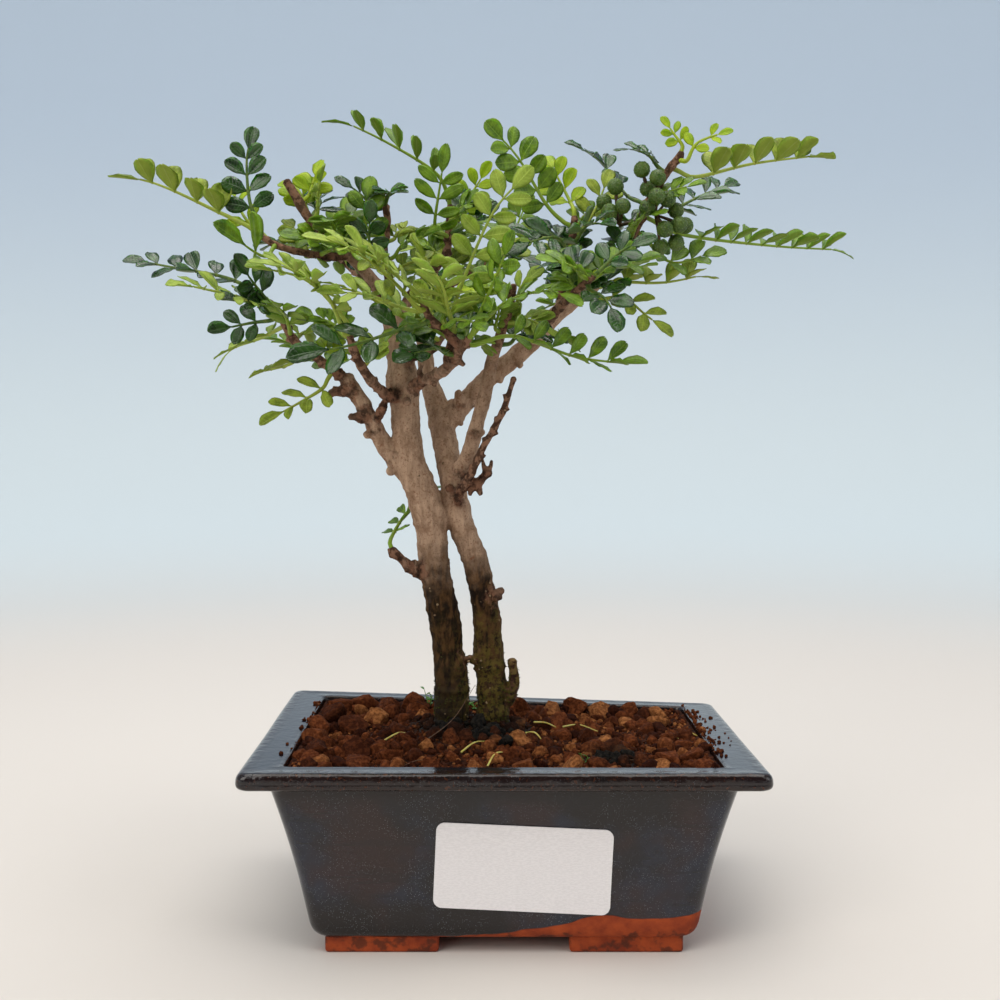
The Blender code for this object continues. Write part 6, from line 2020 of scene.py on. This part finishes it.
def build_stage(settings):
    """A pale floor that curves up all round, soft lights and the camera at the photograph's place."""
    radius, bend, height = 1.7, 0.9, 2.4
    section = [(0.001, 0.0), (0.35, 0.0), (radius - bend, 0.0)]
    for step in range(1, 17):
        angle = math.pi / 2 * step / 16
        section.append((radius - bend + bend * math.sin(angle), bend * (1 - math.cos(angle))))
    section.append((radius, height))
    studio = Finish("studio floor", settings, "floor_color", Roughness=0.8)
    x, y, z = studio.place.parts()
    climb = (x * x + y * y).calc("SQRT") * 0.3 + z
    studio.over(climb.fade(0.13, 0.38), "far_color")
    studio.over(climb.fade(0.45, settings.backdrop_height), "backdrop_color")
    studio.over(y.fade(-0.60, -1.05), "front_color")
    rings = [[(across * x, across * y, z) for x, y in circle(96)] for across, z in section]
    face_up(lofted("studio_floor", rings, studio.done(), False))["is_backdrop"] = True
    warm = settings.key_color[:3]
    add_light("overhead", (0.0, -0.10, 1.15), 1.3, settings.overhead_power, (0, 0, 0.1), warm)
    add_light("front_left", (-0.75, -0.85, 0.70), 0.8, settings.front_power, (0, 0, 0.12), warm)
    add_light("front_right", (0.85, -0.55, 0.55), 0.6, settings.side_power, (0, 0, 0.12))
    add_light("backdrop", (0, 0.45, 1.55), 0.9, settings.rear_power, (0, 1.7, 0.45))
    scene = bpy.context.scene
    scene.world = bpy.data.worlds.new("studio")
    scene.world.use_nodes = True
    sky = scene.world.node_tree.nodes["Background"]
    sky.inputs["Color"].default_value = settings.sky_color
    sky.inputs["Strength"].default_value = settings.sky_strength
    scene.view_settings.view_transform = "Standard"
    camera = bpy.data.cameras.new("camera")
    camera.lens = settings.lens
    camera.sensor_width = 36
    camera.clip_start, camera.clip_end = 0.01, 20
    scene.camera = place_in_scene(camera, settings.camera_place, (math.pi / 2 - settings.camera_pitch, 0, 0))


def place_in_scene(data, place, turn):
    """Links a lamp or a camera into the scene."""
    obj = bpy.data.objects.new(data.name, data)
    bpy.context.scene.collection.objects.link(obj)
    obj.location = place
    obj.rotation_euler = turn
    return obj


def add_light(name, place, size, power, aim, color=(1, 1, 1)):
    """A soft square light that faces a point."""
    light = bpy.data.lights.new(name, "AREA")
    light.shape = "SQUARE"
    light.size = size
    light.energy = power
    light.color = color
    place_in_scene(light, place, (Vector(place) - Vector(aim)).to_track_quat("Z", "Y").to_euler())


def color_setting(name, value, note):
    """A colour that a user may change."""
    return bpy.props.FloatVectorProperty(
        name=name, description=note, default=(*value, 1), size=4, min=0, max=1, subtype="COLOR",
    )


def length_setting(name, value, note):
    """A length in metres that a user may change."""
    return bpy.props.FloatProperty(
        name=name, description=note, default=value, min=0, unit="LENGTH", precision=5,
    )


def power_setting(name, value):
    """A lamp's power that a user may change."""
    return bpy.props.FloatProperty(name=name, description="Power in watts", default=value, min=0)


class PotSettings(bpy.types.PropertyGroup):
    """Finishes of the pot, its sticker and its drainage meshes."""

    glaze_dark: color_setting("Glaze, dark", (0.007, 0.004, 0.004), "The glaze where it is darkest")
    glaze_light: color_setting("Glaze, light", (0.050, 0.043, 0.050), "The glaze where it is lightest")
    glaze_streak: color_setting("Glaze streaks", (0.020, 0.028, 0.052), "Blue runs down the wall")
    glaze_brown: color_setting("Glaze, brown", (0.026, 0.010, 0.008), "Where the wall's glaze is brown")
    speck_color: color_setting("Specks", (0.300, 0.330, 0.360), "Fine pale specks in the glaze")
    rim_dark: color_setting("Rim, dark", (0.005, 0.007, 0.013), "The rim's blue where it is darkest")
    rim_light: color_setting("Rim, light", (0.045, 0.095, 0.190), "The rim's blue where it is lightest")
    rim_edge_color: color_setting("Rim edges", (0.014, 0.005, 0.003), "Thin brown glaze on the edges")
    rim_rust_color: color_setting("Rim rust", (0.100, 0.032, 0.012), "Rusty specks on the rim's edges")
    clay_dark: color_setting("Clay, dark", (0.190, 0.025, 0.006), "The bare clay where it is darkest")
    clay_light: color_setting("Clay, light", (0.400, 0.066, 0.013), "The bare clay where it is lightest")
    paper_color: color_setting("Sticker", (0.880, 0.850, 0.860), "The blank sticker's paper")
    plastic_color: color_setting("Drainage mesh", (0.06, 0.06, 0.06), "The plastic over the drainage holes")
    rim_blue: bpy.props.FloatProperty(
        name="Rim blue", description="How much the blue pools on the rim", default=0.85, min=0, max=1,
    )


class SoilSettings(bpy.types.PropertyGroup):
    """Sizes and colours of the potting mix and its clay granules."""

    soil_dark: color_setting("Soil, dark", (0.012, 0.004, 0.002), "The crumb where it is darkest")
    soil_light: color_setting("Soil, light", (0.070, 0.021, 0.009), "The crumb where it is lightest")
    granule_dark: color_setting("Granules, dark", (0.042, 0.010, 0.004), "The darkest granules")
    granule_mid: color_setting("Granules, middle", (0.185, 0.052, 0.017), "Most granules")
    granule_pale: color_setting("Granules, pale", (0.420, 0.165, 0.055), "The palest granules")
    granule_dust: color_setting("Granule dust", (0.230, 0.080, 0.032), "Dust on the granules")
    granule_spacing: length_setting("Granule spacing", 3.1 * MM, "The least distance between granules")
    granule_size: length_setting("Largest granule", 3.6 * MM, "Half the size of the largest scattered one")
    seed: bpy.props.IntProperty(name="Seed", description="Changes where the granules lie", default=8, min=0)


class WoodSettings(bpy.types.PropertyGroup):
    """Relief and colours of the bark and the moss on it."""

    furrow_depth: length_setting("Furrow depth", 0.16 * MM, "The depth of the fine furrows in the bark")
    lump_depth: length_setting("Lump depth", 0.42 * MM, "The height of the swellings in the bark")
    moss_amount: bpy.props.FloatProperty(
        name="Algae", description="How green the lower bark is", default=0.75, min=0, max=1,
    )
    bark_shade: color_setting("Bark, shade", (0.245, 0.150, 0.095), "Upper bark where it is darkest")
    bark_light: color_setting("Bark, light", (0.560, 0.380, 0.260), "Upper bark where it is lightest")
    bark_patch: color_setting("Bark patches", (0.170, 0.082, 0.042), "Brown patches on the upper bark")
    base_dark: color_setting("Lower bark, dark", (0.012, 0.006, 0.003), "Lower bark where it is darkest")
    base_light: color_setting("Lower bark, light", (0.090, 0.044, 0.016), "Lower bark where it is lightest")
    twig_dark: color_setting("Twigs, dark", (0.045, 0.018, 0.010), "Twigs where they are darkest")
    twig_light: color_setting("Twigs, light", (0.240, 0.125, 0.078), "Twigs where they are lightest")
    knot_color: color_setting("Junctions", (0.024, 0.010, 0.006), "The rough wood round a junction")
    knot_light: color_setting("Junctions, light", (0.270, 0.130, 0.078), "The ridges of the rough wood")
    rust_color: color_setting("Rusty flecks", (0.190, 0.072, 0.036), "Small reddish flecks on the bark")
    cut_color: color_setting("Pruned ends", (0.200, 0.120, 0.080), "Old pruning cuts")
    algae_color: color_setting("Algae", (0.125, 0.092, 0.018), "The green film on the lower bark")
    lenticel_color: color_setting("Corky spots", (0.400, 0.280, 0.160), "The small pale spots of the bark")
    cork_dark: color_setting("Corky spots, dark", (0.110, 0.065, 0.035), "The darker small spots of the bark")
    moss_dark: color_setting("Moss, dark", (0.020, 0.028, 0.004), "Moss where it is darkest")
    moss_light: color_setting("Moss, light", (0.095, 0.105, 0.012), "Moss where it is lightest")


class LeafSettings(bpy.types.PropertyGroup):
    """Two shades of each of the five greens that the fronds have."""

    dark_shade: color_setting("Dark, shade", (0.005, 0.023, 0.003), "Old glossy leaves, darker")
    dark_light: color_setting("Dark, light", (0.034, 0.100, 0.012), "Old glossy leaves, lighter")
    mid_shade: color_setting("Middle, shade", (0.040, 0.098, 0.006), "Full-grown leaves, darker")
    mid_light: color_setting("Middle, light", (0.190, 0.318, 0.016), "Full-grown leaves, lighter")
    pale_shade: color_setting("Pale, shade", (0.160, 0.240, 0.026), "Pale leaves, darker")
    pale_light: color_setting("Pale, light", (0.360, 0.465, 0.070), "Pale leaves, lighter")
    lime_shade: color_setting("Lime, shade", (0.170, 0.290, 0.007), "Young leaves, darker")
    lime_light: color_setting("Lime, light", (0.360, 0.480, 0.014), "Young leaves, lighter")
    olive_shade: color_setting("Olive, shade", (0.110, 0.155, 0.014), "Olive leaves, darker")
    olive_light: color_setting("Olive, light", (0.310, 0.388, 0.042), "Olive leaves, lighter")


class FruitSettings(bpy.types.PropertyGroup):
    """Size and colours of the berries."""

    berry_radius: length_setting("Berry radius", 2.65 * MM, "Half a berry's width")
    pimple_height: bpy.props.FloatProperty(
        name="Pimples", description="Height of the oil pimples, in berry radii", default=0.10, min=0, max=0.2,
    )
    berry_dark: color_setting("Berry, dark", (0.016, 0.052, 0.004), "The skin where it is darkest")
    berry_light: color_setting("Berry, light", (0.085, 0.150, 0.016), "The skin where it is lightest")
    pimple_color: color_setting("Pimples", (0.200, 0.290, 0.080), "The oil pimples")
    fruit_stalk_dark: color_setting("Stalk, dark", (0.050, 0.024, 0.012), "The fruit's stalk, darker")
    fruit_stalk_light: color_setting("Stalk, light", (0.120, 0.075, 0.028), "The fruit's stalk, lighter")


class StageSettings(bpy.types.PropertyGroup):
    """Floor, lights and camera."""

    floor_color: color_setting("Floor", (0.700, 0.650, 0.600), "The floor's colour")
    backdrop_color: color_setting("Backdrop", (0.545, 0.630, 0.725), "The colour high on the backdrop")
    front_color: color_setting("Wall behind the camera", (0.130, 0.130, 0.135), "The wall behind the camera")
    key_color: color_setting("Lamps", (1.000, 0.970, 0.920), "The lamps from above and the left")
    far_color: color_setting("Far floor", (0.710, 0.780, 0.800), "The floor where it starts to rise")
    backdrop_height: length_setting("Backdrop height", 1.15, "Where the backdrop's colour is reached")
    overhead_power: power_setting("Overhead", 11.0)
    front_power: power_setting("Front left", 6.5)
    side_power: power_setting("Front right", 2.0)
    rear_power: power_setting("Backdrop", 5.0)
    sky_color: color_setting("Sky", (0.96, 0.97, 1.0), "The colour of the light from above")
    sky_strength: bpy.props.FloatProperty(
        name="Sky strength", description="Strength of that light", default=0.62, min=0,
    )
    lens: bpy.props.FloatProperty(name="Lens", description="Focal length in millimetres", default=47.8, min=1)
    camera_place: bpy.props.FloatVectorProperty(
        name="Camera", description="The camera's place", default=(-0.0012, -0.422, 0.152), unit="LENGTH",
    )
    camera_pitch: bpy.props.FloatProperty(
        name="Camera pitch", description="How far the camera looks down", default=0.0542, subtype="ANGLE",
    )


class BonsaiSettings(bpy.types.PropertyGroup):
    """All settings of the potted tree."""

    pot: bpy.props.PointerProperty(type=PotSettings)
    soil: bpy.props.PointerProperty(type=SoilSettings)
    wood: bpy.props.PointerProperty(type=WoodSettings)
    leaf: bpy.props.PointerProperty(type=LeafSettings)
    fruit: bpy.props.PointerProperty(type=FruitSettings)
    stage: bpy.props.PointerProperty(type=StageSettings)


class BONSAI_OT_pot(bpy.types.Operator):
    """Make the glazed pot in place of its solid"""

    bl_idname = "bonsai.pot"
    bl_label = "Pot"

    def execute(self, context):
        build_pot(context.scene.bonsai.pot)
        return {"FINISHED"}


class BONSAI_OT_drain_meshes(bpy.types.Operator):
    """Give the drainage meshes their plastic"""

    bl_idname = "bonsai.drain_meshes"
    bl_label = "Drainage meshes"

    def execute(self, context):
        dress_drain_meshes(context.scene.bonsai.pot)
        return {"FINISHED"}


class BONSAI_OT_sticker(bpy.types.Operator):
    """Make the blank sticker on the front wall"""

    bl_idname = "bonsai.sticker"
    bl_label = "Sticker"

    def execute(self, context):
        build_label(context.scene.bonsai.pot)
        return {"FINISHED"}


class BONSAI_OT_soil(bpy.types.Operator):
    """Make the potting mix in place of its solid"""

    bl_idname = "bonsai.soil"
    bl_label = "Potting mix"

    def execute(self, context):
        build_soil(context.scene.bonsai.soil)
        return {"FINISHED"}


class BONSAI_OT_granules(bpy.types.Operator):
    """Lay the large, medium and small clay granules"""

    bl_idname = "bonsai.granules"
    bl_label = "Clay granules"

    def execute(self, context):
        build_large_granules(context.scene.bonsai.soil)
        build_loose_bits(context.scene.bonsai.soil)
        build_small_granules(context.scene.bonsai.soil)
        return {"FINISHED"}


class BONSAI_OT_litter(bpy.types.Operator):
    """Lay rootlets and set seedlings on the soil"""

    bl_idname = "bonsai.litter"
    bl_label = "Rootlets and seedlings"

    def execute(self, context):
        build_litter()
        return {"FINISHED"}


class BONSAI_OT_wood(bpy.types.Operator):
    """Make the trunks, limbs and twigs with their bark"""

    bl_idname = "bonsai.wood"
    bl_label = "Wood"

    def execute(self, context):
        build_wood(context.scene.bonsai.wood)
        return {"FINISHED"}


class BONSAI_OT_moss(bpy.types.Operator):
    """Grow moss and corky spots on the bark"""

    bl_idname = "bonsai.moss"
    bl_label = "Moss and corky spots"

    def execute(self, context):
        build_moss(context.scene.bonsai.wood)
        return {"FINISHED"}


class BONSAI_OT_fronds(bpy.types.Operator):
    """Grow every frond in place of its solid"""

    bl_idname = "bonsai.fronds"
    bl_label = "Fronds"

    def execute(self, context):
        build_fronds(context.scene.bonsai.leaf)
        return {"FINISHED"}


class BONSAI_OT_fruit(bpy.types.Operator):
    """Make both bunches of berries in place of their solids"""

    bl_idname = "bonsai.fruit"
    bl_label = "Berries"

    def execute(self, context):
        build_fruit(context.scene.bonsai.fruit)
        return {"FINISHED"}


class BONSAI_OT_stage(bpy.types.Operator):
    """Set the floor, the lights and the camera"""

    bl_idname = "bonsai.stage"
    bl_label = "Stage"

    def execute(self, context):
        build_stage(context.scene.bonsai.stage)
        return {"FINISHED"}


OPERATORS = (
    BONSAI_OT_pot, BONSAI_OT_drain_meshes, BONSAI_OT_sticker, BONSAI_OT_soil, BONSAI_OT_granules,
    BONSAI_OT_litter, BONSAI_OT_wood, BONSAI_OT_moss, BONSAI_OT_fronds, BONSAI_OT_fruit, BONSAI_OT_stage,
)


class BONSAI_PT_sidebar(bpy.types.Panel):
    """Lists the pieces of the potted tree and their settings"""

    bl_label = "Chinese pepper bonsai"
    bl_idname = "BONSAI_PT_sidebar"
    bl_space_type = "VIEW_3D"
    bl_region_type = "UI"
    bl_category = "Bonsai"

    def draw(self, context):
        for operator in OPERATORS:
            self.layout.operator(operator.bl_idname)
        for group in ("pot", "soil", "wood", "leaf", "fruit", "stage"):
            settings = getattr(context.scene.bonsai, group)
            box = self.layout.box()
            for name in settings.bl_rna.properties.keys():
                if name not in ("rna_type", "name"):
                    box.prop(settings, name)


CLASSES = (
    PotSettings, SoilSettings, WoodSettings, LeafSettings, FruitSettings, StageSettings, BonsaiSettings,
    *OPERATORS, BONSAI_PT_sidebar,
)


def register():
    """Registers the settings, the operators and the panel."""
    for made in CLASSES:
        bpy.utils.register_class(made)
    bpy.types.Scene.bonsai = bpy.props.PointerProperty(type=BonsaiSettings)


def unregister():
    """Takes the panel, the operators and the settings out again."""
    del bpy.types.Scene.bonsai
    for made in reversed(CLASSES):
        bpy.utils.unregister_class(made)


def corners(box):
    """A box as plain lists of numbers."""
    return [list(corner) for corner in box]


def main():
    """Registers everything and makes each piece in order."""
    solids = corners(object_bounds())
    register()
    for operator in OPERATORS:
        group, name = operator.bl_idname.split(".")
        getattr(getattr(bpy.ops, group), name)()
    {"solids": solids, "dressed": corners(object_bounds())}


if __name__ == "__main__":
    main()
